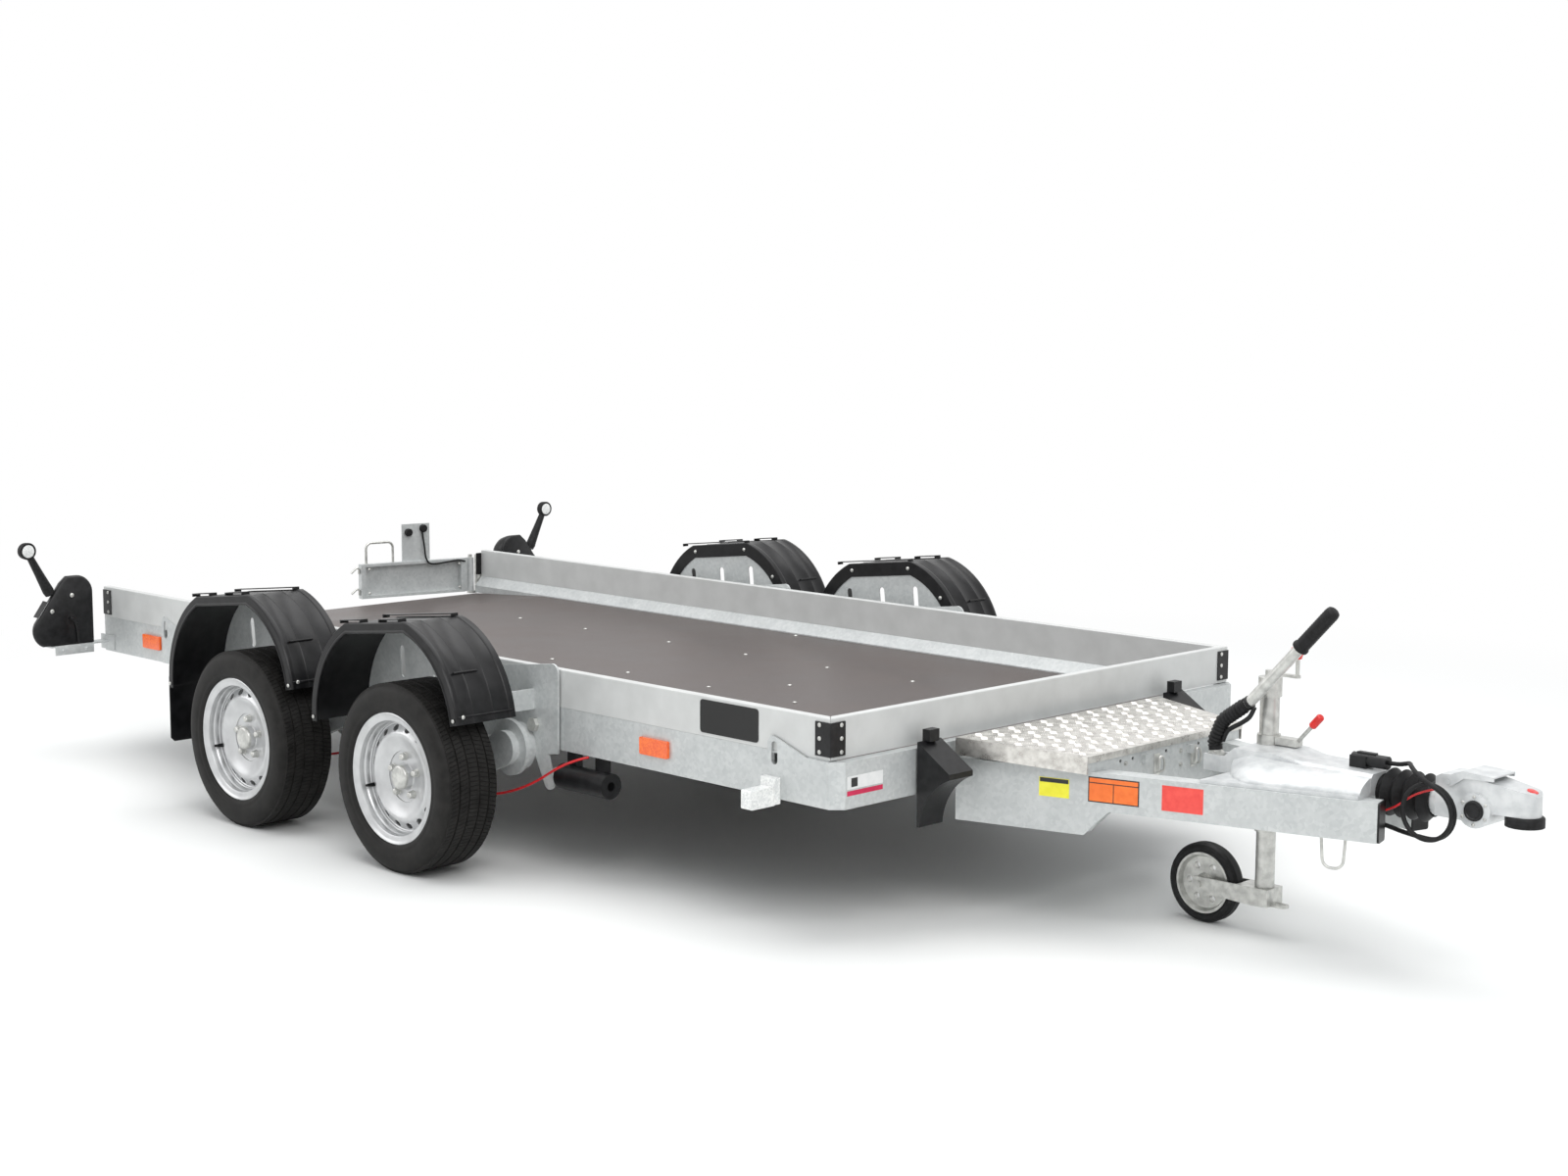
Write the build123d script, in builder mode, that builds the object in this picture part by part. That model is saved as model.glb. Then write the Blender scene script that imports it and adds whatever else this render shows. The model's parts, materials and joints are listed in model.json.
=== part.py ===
# A twin-axle drop-deck trailer, in millimetres: +X towards the coupling, +Y to the left, +Z up.
# The origin is on the ground, below the middle of the whole trailer.

import os
from math import atan2, cos, degrees, hypot, radians, sin, tan

from build123d import *

os.makedirs("parts", exist_ok=True)

# The gap left between pieces that rest on each other
seat = 0.3

# Deck and frame
deck_length = 3480.0
deck_width = 1650.0
board_height = 103.0
board_thick = 25.0
board_gap = 0.5
rail_height = 118.0
rail_wall = 4.0
rail_foot = 65.0
floor_inset = 57.0
floor_ledge = 38.0
floor_thick = 15.0
ground_clearance = 344.0
strip_length = 420.0
strip_drop = 26.0
cross_height = 60.0
cross_width = 40.0
cross_wall = 4.0
cross_count = 6
cross_first = 150.0

# Front member, folded round the deck's front corners
member_reach = 30.0
member_wall = 5.0
member_chamfer = 29.0
return_length = 200.0
side_step = 8.0

# Lashing eyes at both ends of each side; a plate's outline is measured from its slot's middle
eye_height = 113.0
eye_slot_length = 58.0
eye_slot_width = 22.0
eye_front_inset = 184.0
eye_rear_inset = 411.0
eye_plate = ((-24, -113), (-24, 27), (-12, 43), (6, 39), (122, -1), (122, -113))
eye_plate_thick = 5.0

# Drawbar, coupling and jockey wheel, measured ahead of the deck's front edge
beam_height = 95.0
beam_width = 50.0
beam_wall = 5.0
beam_bottom = 322.0
beam_front = 1060.0
beam_rear = 32.0
beam_front_half = 112.0
beam_rear_half = 400.0
gusset_depth = 65.0
gusset_length = 345.0
cap_thick = 5.0
shaft_height = 424.0
shaft_radius = 25.0
stroke_clearance = 0.4
housing_front = 1009.0
housing_rear = 606.0
ball_forward = 1366.0
ball_radius = 25.0
dock_radius = 44.0
jockey_forward = 664.0
jockey_side = 38.0
jockey_tube_radius = 24.0
jockey_collar_radius = 29.0
jockey_wheel_radius = 102.0
jockey_wheel_width = 48.0
jockey_trail = 172.0
lever_forward = 572.0
lever_side = 52.0

# Wheels and their swinging carriers
tyre_radius = 262.5
tyre_width = 184.0
rim_radius = 160.0
flange_radius = 182.5
rim_width = 168.0
wheel_out = 242.0
front_axle = 1345.0
axle_spacing = 783.0
pivot_ahead = 233.0
pivot_above = 142.0
carrier_gap = 6.0
carrier_wall = 6.0
drum_radius = 66.0
drum_width = 44.0
drum_back = 62.0
drum_below = 67.0
collar_radius = 78.0
guard_width = 200.0
guard_out = 197.0
guard_half_base = 345.0
guard_half_top = 141.0
guard_height = 278.0
guard_wall = 4.0
guard_tilt = 6.4
guard_behind = 85.0
guard_above = 138.0

# Box on the drawbar
box_gap = 50.0
box_length = 341.0
box_rear_half = 425.0
box_rear_height = 474.0
box_slope = 2.6
box_wall = 3.0

# Eyes by which the lowering cylinders hold the carriers, from each pivot
lug_ahead = 58.0
lug_below = 154.0

# Rear gate, on a post behind the deck's left rear corner
gate_behind = 20.0
gate_length = 462.0
gate_height = 132.0
gate_thick = 30.0
gate_open = 11.7

# Values that follow from those above
nose_reach = ball_forward + dock_radius
tail_reach = (gate_behind + gate_length * sin(radians(gate_open))
              + gate_thick / 2 * cos(radians(gate_open)))
front_x = (deck_length + tail_reach - nose_reach) / 2
rear_x = front_x - deck_length
half_deck = deck_width / 2
wheel_side = half_deck + wheel_out
guard_side = half_deck + guard_out
rail_top = ground_clearance + rail_height
eye_z = ground_clearance + eye_height
eye_x = {"front": front_x - eye_front_inset, "rear": rear_x + eye_rear_inset}
eye_hole_bottom = eye_z - eye_slot_length / 2
eye_hole_top = rail_top - rail_wall - 2
board_bottom = rail_top + board_gap
board_top = board_bottom + board_height
floor_half = half_deck - floor_inset
floor_top = rail_top - floor_ledge
floor_bottom = floor_top - floor_thick
strip_front = rear_x + strip_length
axle_x = {"front": front_x - front_axle, "rear": front_x - front_axle - axle_spacing}
sides = {"right": -1, "left": 1}
pivot_z = tyre_radius + pivot_above
carrier_side = half_deck + carrier_gap
beam_slope = atan2(beam_rear_half - beam_front_half, beam_front - beam_rear)
box_x = front_x + box_gap


def side_plane(x=0.0, y=0.0, z=0.0):
    """An upright plane seen from the right side; a negative extrusion goes to the left."""
    return Plane(origin=(x, y, z), x_dir=(1, 0, 0), z_dir=(0, -1, 0))


def cross_plane(x=0.0, y=0.0, z=0.0):
    """An upright plane across the trailer, whose pieces are extruded forwards."""
    return Plane(origin=(x, y, z), x_dir=(0, 1, 0), z_dir=(1, 0, 0))


def save(piece, label):
    """Name a finished piece and write it to its own file."""
    piece.part.label = label
    export_step(piece.part, f"parts/{label}.step")


def eye_outline(end):
    """A lashing plate's outline, seen from the left with X to the right."""
    return [(eye_x[end] + ahead, eye_z + above) for ahead, above in eye_plate]


# Side rails: a folded section with a foot, a web, a sloping ledge and a lip under the floor
with BuildPart() as side_rails:
    with BuildSketch(Plane.YZ.offset(rear_x)):
        with BuildLine():
            Polyline(
                (half_deck - rail_foot, ground_clearance),
                (half_deck, ground_clearance),
                (half_deck, rail_top),
                (half_deck - board_thick, rail_top),
                (floor_half, floor_top + rail_wall),
                (floor_half, floor_bottom - seat - rail_wall),
                (floor_half - rail_foot, floor_bottom - seat - rail_wall),
            )
            offset(amount=rail_wall, side=Side.LEFT)
        make_face()
    extrude(amount=deck_length - member_wall)
    with BuildSketch(Plane.XY.offset(ground_clearance + rail_wall)):
        with Locations(((rear_x + strip_front) / 2, floor_half - rail_foot / 2)):
            Rectangle(strip_length + 4, rail_foot + 1)
    extrude(amount=floor_top - ground_clearance, mode=Mode.SUBTRACT)
    with BuildSketch(Plane.XZ.offset(-half_deck)):
        with BuildLine():
            Polyline(*eye_outline("rear"), close=True)
        make_face()
        with Locations((eye_x["rear"], eye_z)):
            SlotOverall(eye_slot_length, eye_slot_width, rotation=90, mode=Mode.SUBTRACT)
    extrude(amount=-eye_plate_thick)
    with BuildSketch(Plane.XZ.offset(-half_deck)):
        with Locations((eye_x["rear"], rail_top + eye_slot_length)):
            Rectangle(4 * eye_slot_length, 2 * eye_slot_length)
    extrude(amount=-seat, mode=Mode.SUBTRACT)
    with BuildSketch(Plane.XZ.offset(-half_deck - 1)):
        for x in eye_x.values():
            with Locations((x, (eye_hole_bottom + eye_hole_top) / 2)):
                RectangleRounded(eye_slot_width, eye_hole_top - eye_hole_bottom, 6)
    extrude(amount=rail_wall + 2, mode=Mode.SUBTRACT)
    mirror(about=Plane.XZ)
save(side_rails, "side_rails")

# Cross members: box tubes between the rails, under the floor
cross_half = floor_half - rail_foot - seat
cross_top = floor_bottom - seat
cross_pitch = (deck_length - strip_length - 2 * cross_first) / (cross_count - 1)
with BuildPart() as cross_members:
    for number in range(cross_count):
        with BuildSketch(Plane.XZ.offset(-cross_half)):
            middle = front_x - cross_first - number * cross_pitch
            with Locations((middle, cross_top - cross_height / 2)):
                Rectangle(cross_width, cross_height)
                Rectangle(
                    cross_width - 2 * cross_wall, cross_height - 2 * cross_wall, mode=Mode.SUBTRACT,
                )
        extrude(amount=2 * cross_half)
save(cross_members, "cross_members")

# Floor panel and the strip behind it that slopes down to the loading edge
floor_play = 0.5
strip_end = rear_x + 6
with BuildPart() as floor_panel:
    with BuildSketch(Plane.XY.offset(floor_top)):
        with Locations(((front_x - member_wall + strip_front) / 2, 0)):
            Rectangle(
                front_x - member_wall - strip_front - 2 * floor_play,
                2 * floor_half - 2 * floor_play,
            )
    extrude(amount=-floor_thick)
save(floor_panel, "floor_panel")

with BuildPart() as rear_floor_strip:
    with BuildSketch(Plane.XZ.offset(-floor_half + floor_play)):
        with BuildLine():
            Polyline(
                (strip_front, floor_top),
                (strip_end, floor_top - strip_drop),
                (strip_end, floor_top - strip_drop - floor_thick),
                (strip_front, floor_top - floor_thick),
                close=True,
            )
        make_face()
    extrude(amount=2 * floor_half - 2 * floor_play)
save(rear_floor_strip, "rear_floor_strip")

# Rear member: a channel across the back, under the strip's edge
rear_member_top = floor_bottom - strip_drop - seat
rear_member_half = half_deck - rail_wall - seat
with BuildPart() as rear_member:
    with BuildSketch(Plane.XZ.offset(-rear_member_half)):
        with BuildLine():
            Polyline(
                (rear_x + 60, ground_clearance + rail_wall + seat),
                (rear_x + 2, ground_clearance + rail_wall + seat),
                (rear_x + 2, rear_member_top),
                (rear_x + 40, rear_member_top + 1.5),
            )
            offset(amount=rail_wall, side=Side.RIGHT)
        make_face()
    extrude(amount=2 * rear_member_half)
save(rear_member, "rear_member")


# Front member: a channel folded round both front corners, with an eye plate at each side
member_half = half_deck + side_step
member_front = front_x + member_reach


def member_outline(inset):
    """The member's outer line in plan, moved inwards."""
    corner = inset * tan(radians(22.5))
    return (
        (front_x - return_length, member_half - inset),
        (member_front - member_chamfer - corner, member_half - inset),
        (member_front - inset, member_half - member_chamfer - corner),
        (member_front - inset, -member_half + member_chamfer + corner),
        (member_front - member_chamfer - corner, -member_half + inset),
        (front_x - return_length, -member_half + inset),
    )


with BuildPart() as front_member:
    with BuildSketch(Plane.XY.offset(ground_clearance)):
        with BuildLine():
            Polyline(*member_outline(0))
            offset(amount=member_wall, side=Side.RIGHT)
        make_face()
    extrude(amount=rail_height - 2)
    for height in (ground_clearance, rail_top - 2 - member_wall):
        with BuildSketch(Plane.XY.offset(height)):
            with BuildLine():
                Polyline(*member_outline(0), close=True)
            make_face()
            with BuildLine():
                Polyline(
                    (front_x - return_length - 1, half_deck + 0.4),
                    (front_x + 0.4, half_deck + 0.4),
                    (front_x + 0.4, -half_deck - 0.4),
                    (front_x - return_length - 1, -half_deck - 0.4),
                    close=True,
                )
            make_face(mode=Mode.SUBTRACT)
        extrude(amount=member_wall)
    with BuildSketch(Plane.XZ.offset(member_half)):
        with BuildLine():
            Polyline(*eye_outline("front"), close=True)
        make_face()
    plate = extrude(amount=-eye_plate_thick)
    mirror(plate, about=Plane.XZ)
    with BuildSketch(Plane.XZ.offset(member_half + 1)):
        with Locations((eye_x["front"], eye_z)):
            SlotOverall(eye_slot_length, eye_slot_width, rotation=90)
    extrude(amount=-2 * member_half - 2, mode=Mode.SUBTRACT)
save(front_member, "front_member")

# Side boards and front board: hollow-section planks, mitred at the front corners
with BuildPart() as side_boards:
    with BuildSketch(Plane.XY.offset(board_bottom)):
        with BuildLine():
            Polyline(
                (rear_x, half_deck),
                (front_x - board_gap, half_deck),
                (front_x - board_thick - board_gap, half_deck - board_thick),
                (rear_x, half_deck - board_thick),
                close=True,
            )
        make_face()
        mirror(about=Plane.XZ)
        with BuildLine():
            Polyline(
                (front_x, half_deck - board_gap),
                (front_x, -half_deck + board_gap),
                (front_x - board_thick, -half_deck + board_thick + board_gap),
                (front_x - board_thick, half_deck - board_thick - board_gap),
                close=True,
            )
        make_face()
    extrude(amount=board_height)
    fillet(side_boards.edges().filter_by(GeomType.LINE).group_by(Axis.Z)[-1], 3)
save(side_boards, "side_boards")

# Corner caps: angle plates on the four upright corners of the boards
cap_side = 49.0
cap_height = 84.0
cap_wall = 3.0
with BuildPart() as board_corner_caps:
    for x, toward in ((front_x, -1), (rear_x, 1)):
        with BuildSketch(Plane.XY.offset(board_bottom + 8)):
            with BuildLine():
                Polyline(
                    (x + toward * cap_side, half_deck + 0.3),
                    (x - toward * 0.3, half_deck + 0.3),
                    (x - toward * 0.3, half_deck - cap_side),
                )
                offset(amount=cap_wall, side=Side.RIGHT if toward > 0 else Side.LEFT)
            make_face()
        extrude(amount=cap_height)
    mirror(about=Plane.XZ)
save(board_corner_caps, "board_corner_caps")


# Drawbar beams: box sections that run together towards the coupling, with a gusset below
def beam_point(ahead, inward=0.0, along=0.0):
    """A point in plan on the left beam's outer face, moved inwards across the beam."""
    part = (ahead - beam_rear) / (beam_front - beam_rear)
    half = beam_rear_half + (beam_front_half - beam_rear_half) * part
    x = front_x + ahead + along * cos(beam_slope) - inward * sin(beam_slope)
    y = half - along * sin(beam_slope) - inward * cos(beam_slope)
    return x, y


beam_run = hypot(beam_front - beam_rear, beam_rear_half - beam_front_half)
beam_origin = beam_point(beam_rear)
beam_plane = Plane(
    origin=(beam_origin[0], beam_origin[1], beam_bottom),
    x_dir=(cos(beam_slope), -sin(beam_slope), 0),
    z_dir=(-sin(beam_slope), -cos(beam_slope), 0),
)
with BuildPart() as drawbar_beams:
    with BuildSketch(beam_plane):
        with BuildLine():
            Polyline(
                (-30, beam_height), (beam_run, beam_height), (beam_run, 0),
                (gusset_length + gusset_depth, 0), (gusset_length, -gusset_depth),
                (-30, -gusset_depth), close=True,
            )
        make_face()
    extrude(amount=beam_width)
    with BuildSketch(beam_plane.offset(beam_wall)):
        with Locations((gusset_length / 2 - 20, -gusset_depth / 2 - beam_wall)):
            Rectangle(gusset_length + 2 * gusset_depth, gusset_depth)
    extrude(amount=beam_width - 2 * beam_wall, mode=Mode.SUBTRACT)
    with BuildSketch(beam_plane.offset(beam_wall)):
        with Locations((beam_run - 150, beam_height / 2)):
            Rectangle(301, beam_height - 2 * beam_wall)
    extrude(amount=beam_width - 2 * beam_wall, mode=Mode.SUBTRACT)
    split(bisect_by=Plane.YZ.offset(member_front + seat), keep=Keep.TOP)
    mirror(about=Plane.XZ)
save(drawbar_beams, "drawbar_beams")

beam_top = beam_bottom + beam_height

# Beam end caps
cap_origin = beam_point(beam_front, along=seat)
cap_plane = Plane(
    origin=(cap_origin[0], cap_origin[1], beam_bottom),
    x_dir=(sin(beam_slope), cos(beam_slope), 0),
    z_dir=(cos(beam_slope), -sin(beam_slope), 0),
)
with BuildPart() as beam_caps:
    with BuildSketch(cap_plane):
        with Locations((-beam_width / 2, beam_height / 2)):
            RectangleRounded(beam_width, beam_height, 6)
    extrude(amount=cap_thick)
    mirror(about=Plane.XZ)
save(beam_caps, "beam_caps")


# Box between the beams: a tray with a front plate that rests on the beams
def beam_inner(ahead):
    """Half the clear width between the beams."""
    part = (ahead - beam_rear) / (beam_front - beam_rear)
    half = beam_rear_half + (beam_front_half - beam_rear_half) * part
    return half - beam_width / cos(beam_slope)


box_front = box_gap + box_length
box_front_half = box_rear_half - box_length * tan(beam_slope)
tray_bottom = beam_bottom + 12
tray_top = box_rear_height - box_length * tan(radians(box_slope)) - 6
plate_front = front_x + box_front - box_wall - 2
with BuildPart() as tool_box:
    with BuildSketch(Plane.XY.offset(tray_bottom)):
        with BuildLine():
            rear_half = beam_inner(box_gap) - seat
            front_half = beam_inner(box_front) - seat
            Polyline(
                (box_x, rear_half), (plate_front, front_half),
                (plate_front, -front_half), (box_x, -rear_half), close=True,
            )
        make_face()
    extrude(amount=tray_top - tray_bottom)
    offset(amount=-box_wall, openings=tool_box.faces().sort_by(Axis.Z)[-1])
    with BuildSketch(Plane.YZ.offset(plate_front)):
        with Locations((0, (beam_top + seat + tray_top) / 2)):
            Rectangle(2 * (box_front_half - 8), tray_top - beam_top - seat)
    extrude(amount=-box_wall)
    hook_spots = [(side * 96, tray_top - 30) for side in (-1, 1)]
    with BuildSketch(Plane.YZ.offset(plate_front)):
        with Locations(*hook_spots):
            Rectangle(16, 22)
    extrude(amount=12)
    with BuildSketch(Plane.YZ.offset(plate_front)):
        with Locations(*[(y, tray_top - 24) for y in (-190, -140, 0, 140, 190)]):
            Circle(4.5)
    extrude(amount=-box_wall, mode=Mode.SUBTRACT)
save(tool_box, "tool_box")

# Box lid: a sloping tread plate with skirts down its sides and a short lip in front
lid_plane = Plane(
    origin=(box_x, 0, box_rear_height),
    x_dir=(cos(radians(box_slope)), 0, -sin(radians(box_slope))),
    z_dir=(sin(radians(box_slope)), 0, cos(radians(box_slope))),
)
lid_skirt = 44.0
lid_lip = 17.0
with BuildPart() as box_lid:
    with BuildSketch(lid_plane):
        with BuildLine():
            Polyline(
                (0, box_rear_half), (box_length, box_front_half),
                (box_length, -box_front_half), (0, -box_rear_half), close=True,
            )
        make_face()
    extrude(amount=-lid_skirt)
    with BuildSketch(lid_plane.offset(-box_wall)):
        with BuildLine():
            Polyline(
                (-1, box_rear_half - box_wall), (box_length - box_wall, box_front_half - box_wall),
                (box_length - box_wall, -box_front_half + box_wall), (-1, -box_rear_half + box_wall),
                close=True,
            )
        make_face()
    extrude(amount=-lid_skirt, mode=Mode.SUBTRACT)
    with BuildSketch(lid_plane.offset(-lid_lip)):
        with Locations((box_length, 0)):
            Rectangle(4 * box_wall, 2 * (box_front_half - box_wall))
    extrude(amount=-lid_skirt, mode=Mode.SUBTRACT)
save(box_lid, "box_lid")

# Wheel chocks, each on its holder against the front member
chock_side = 510.0
chock_width = 88.0
chock_length = 215.0
chock_depth = 112.0
chock_bottom = 262.0
with BuildPart() as wheel_chocks:
    with BuildSketch(side_plane(member_front + seat, chock_side - chock_width / 2, chock_bottom)):
        with BuildLine():
            Polyline((14, 0), (6, 0), (6, chock_length), (chock_depth, 148), (chock_depth, 134))
            ThreePointArc((chock_depth, 134), (46, 84), (14, 0))
        make_face()
    extrude(amount=-chock_width)
    with BuildSketch(Plane.XZ.offset(-chock_side - 18)):
        with Locations((member_front + seat + 3.1, ground_clearance + 76)):
            Rectangle(6.2, 150)
        with Locations((member_front + seat + 12, chock_bottom + chock_length + 14)):
            Rectangle(24, 30)
    extrude(amount=36)
    mirror(about=Plane.XZ)
save(wheel_chocks, "wheel_chocks")

# Side reflectors on the rails, and white position lamps beside the front corners
reflector_length = 109.0
reflector_height = 46.0
reflector_thick = 8.0
reflector_above = 62.0
reflector_front_inset = 631.0
reflector_rear_inset = 320.0
with BuildPart() as side_reflectors:
    for x in (front_x - reflector_front_inset, rear_x + reflector_rear_inset):
        with BuildSketch(Plane.XZ.offset(-half_deck - seat)):
            with Locations((x, ground_clearance + reflector_above)):
                RectangleRounded(reflector_length, reflector_height, 5)
        extrude(amount=-reflector_thick)
    mirror(about=Plane.XZ)
save(side_reflectors, "side_reflectors")

position_lamp_x = front_x - 166.0
position_lamp_z = ground_clearance + 10.0
with BuildPart() as position_lamps:
    with BuildSketch(Plane.YZ.offset(position_lamp_x)):
        with Locations((member_half + 56, position_lamp_z)):
            RectangleRounded(84, 48, 5)
    extrude(amount=-34)
    with BuildSketch(Plane.YZ.offset(position_lamp_x + 4)):
        with Locations((member_half + 10 + seat, position_lamp_z + 12)):
            Rectangle(20, 66)
    extrude(amount=-50)
    mirror(about=Plane.XZ)
save(position_lamps, "position_lamps")

# Blank plate on the right-hand board
plate_length = 211.0
plate_height = 85.0
plate_behind = 353.0
with BuildPart() as name_plate:
    with BuildSketch(Plane.XZ.offset(half_deck + seat)):
        with Locations((front_x - plate_behind, board_bottom + board_height / 2)):
            RectangleRounded(plate_length, plate_height, 9)
    extrude(amount=1.5)
save(name_plate, "name_plate")

# Pivot bolts: the pins in the side rails on which the carriers swing
pin_radius = 12.0
bolt_radius = 20.0
with BuildPart() as pivot_bolts:
    for x in axle_x.values():
        with BuildSketch(Plane.XZ.offset(-half_deck - seat)):
            with Locations((x + pivot_ahead, pivot_z)):
                Circle(pin_radius)
        extrude(amount=-carrier_gap - carrier_wall - 0.5)
        with BuildSketch(Plane.XZ.offset(-carrier_side - carrier_wall - 0.7)):
            with Locations((x + pivot_ahead, pivot_z)):
                RegularPolygon(bolt_radius, 6)
        extrude(amount=-12)
    mirror(about=Plane.XZ)
save(pivot_bolts, "pivot_bolts")


# Mudguard outline, in its own tilted plane above each axle
def guard_plane(x, height):
    """The upright plane of a mudguard's outline, at a given distance to the left."""
    tilt = radians(guard_tilt)
    return Plane(
        origin=(x - guard_behind, height, tyre_radius + guard_above),
        x_dir=(cos(tilt), 0, sin(tilt)),
        z_dir=(0, -1, 0),
    )


def guard_arch(inset, base=0.0):
    """The arch of a mudguard, moved inwards, closed along its base."""
    half = guard_half_base - inset
    top = guard_height - inset
    shoulder = guard_half_top - 0.3 * inset
    ThreePointArc((half, base), (288 - 0.9 * inset, 168 - 0.5 * inset), (shoulder, top))
    Line((shoulder, top), (-shoulder, top))
    ThreePointArc((-shoulder, top), (-288 + 0.9 * inset, 168 - 0.5 * inset), (-half, base))
    Line((-half, base), (half, base))


guard_inner = guard_side - guard_width / 2
guard_outer = guard_side + guard_width / 2
arm_inner = carrier_side + carrier_wall + drum_width
arm_outer = arm_inner + 22
backplate_radius = 112.0
stub_radius = 17.5
stub_end = wheel_side + 10

for end, x in axle_x.items():
    drum_x = x + pivot_ahead - drum_back
    drum_z = pivot_z - drum_below

    # Carrier: side plate, spring drum, trailing arm, back plate, stub and the guard's inner plate
    with BuildPart() as swing_arms:
        with BuildSketch(side_plane(x + pivot_ahead, carrier_side, pivot_z)):
            with BuildLine():
                Polyline((-161, -108), (96, -70), (100, 148))
                ThreePointArc((100, 148), (91, 170), (68, 174))
                Polyline((68, 174), (-161, 146), (-161, -108))
            make_face()
            Circle(pin_radius + 0.3, mode=Mode.SUBTRACT)
        extrude(amount=-carrier_wall)
        with BuildSketch(Plane.XZ.offset(-carrier_side - carrier_wall)):
            with Locations((drum_x, drum_z)):
                Circle(drum_radius)
        extrude(amount=-drum_width)
        with BuildSketch(Plane.XZ.offset(-arm_inner + 14)):
            with Locations((drum_x, drum_z)):
                Circle(collar_radius)
        extrude(amount=-14)
        with BuildSketch(Plane.XZ.offset(-arm_inner)):
            with Locations((drum_x, drum_z)):
                Circle(48)
            with Locations((x, tyre_radius)):
                Circle(40)
            make_hull()
        extrude(amount=-22)
        with BuildSketch(Plane.XZ.offset(-arm_outer)):
            with Locations((x, tyre_radius)):
                Circle(backplate_radius)
        extrude(amount=-5)
        with BuildSketch(Plane.XZ.offset(-arm_outer)):
            with Locations((x, tyre_radius)):
                Circle(stub_radius)
        extrude(amount=-stub_end + arm_outer)
        with BuildSketch(Plane.XZ.offset(-carrier_side)):
            with Locations((x + pivot_ahead + lug_ahead, pivot_z - lug_below)):
                Circle(20)
            with Locations((x + pivot_ahead + 20, pivot_z - 60)):
                Circle(30)
            make_hull()
        extrude(amount=-carrier_wall)
        with BuildSketch(guard_plane(x, guard_inner + 1)):
            with BuildLine():
                guard_arch(guard_wall + seat)
            make_face()
            with Locations((guard_behind - 40, -60)):
                Rectangle(190, 130)
            with Locations(*[(u, 150) for u in (-150, 0, 150)]):
                SlotOverall(90, 22, rotation=90, mode=Mode.SUBTRACT)
        extrude(amount=-3)
        with BuildSketch(Plane.XZ.offset(-carrier_side - carrier_wall)):
            with Locations(*[(x + pivot_ahead + ahead, pivot_z + 70) for ahead in (-5, -140)]):
                Rectangle(8, 56)
        extrude(amount=-guard_inner - 1.5 + carrier_side + carrier_wall)
        mirror(about=Plane.XZ)
    save(swing_arms, f"swing_arms_{end}")

    # Mudguards: an arch with a flange on its inner side and a lip on its outer side
    with BuildPart() as mudguards:
        for near, depth, inset in ((guard_inner + 4.3, guard_width - 4.3, guard_wall),
                                   (guard_inner + 4.3, 3, 28), (guard_outer - 4, 4, 12)):
            with BuildSketch(guard_plane(x, near)):
                with BuildLine():
                    guard_arch(0)
                make_face()
                with BuildLine():
                    guard_arch(inset, base=-1)
                make_face(mode=Mode.SUBTRACT)
            extrude(amount=-depth)
        if end == "rear":
            flap_top = tyre_radius + guard_above - 20
            flap_x = x - guard_behind - guard_half_base * cos(radians(guard_tilt)) - 4
            with BuildSketch(Plane.YZ.offset(flap_x)):
                with Locations((guard_side, flap_top - 85)):
                    Rectangle(guard_width - 12, 210)
            extrude(amount=-5)
            with BuildSketch(Plane.YZ.offset(flap_x - 5)):
                with Locations((guard_side, flap_top)):
                    Rectangle(guard_width - 12, 30)
            extrude(amount=14)
        mirror(about=Plane.XZ)
    save(mudguards, f"mudguards_{end}")

    for side, sign in sides.items():
        axle = Axis((x, 0, tyre_radius), (0, 1, 0))
        half_rim = rim_width / 2

        # Tyre: a low-profile section round the rim
        with BuildPart() as tyre:
            with BuildSketch(cross_plane(x, sign * wheel_side, tyre_radius)):
                with BuildLine():
                    Polyline(
                        (-half_rim + 9, rim_radius + seat), (-half_rim + 9, flange_radius + 0.5),
                        (-half_rim - 1, flange_radius + 0.5),
                    )
                    ThreePointArc(
                        (-half_rim - 1, flange_radius + 0.5), (-tyre_width / 2, 222),
                        (-half_rim + 4, 248),
                    )
                    Polyline((-half_rim + 4, 248), (-half_rim + 16, 259), (-30, tyre_radius))
                    Line((-30, tyre_radius), (30, tyre_radius))
                    Polyline((30, tyre_radius), (half_rim - 16, 259), (half_rim - 4, 248))
                    ThreePointArc(
                        (half_rim - 4, 248), (tyre_width / 2, 222),
                        (half_rim + 1, flange_radius + 0.5),
                    )
                    Polyline(
                        (half_rim + 1, flange_radius + 0.5), (half_rim - 9, flange_radius + 0.5),
                        (half_rim - 9, rim_radius + seat), (-half_rim + 9, rim_radius + seat),
                    )
                make_face()
            revolve(axis=axle)
        save(tyre, f"tyre_{end}_{side}")

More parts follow.
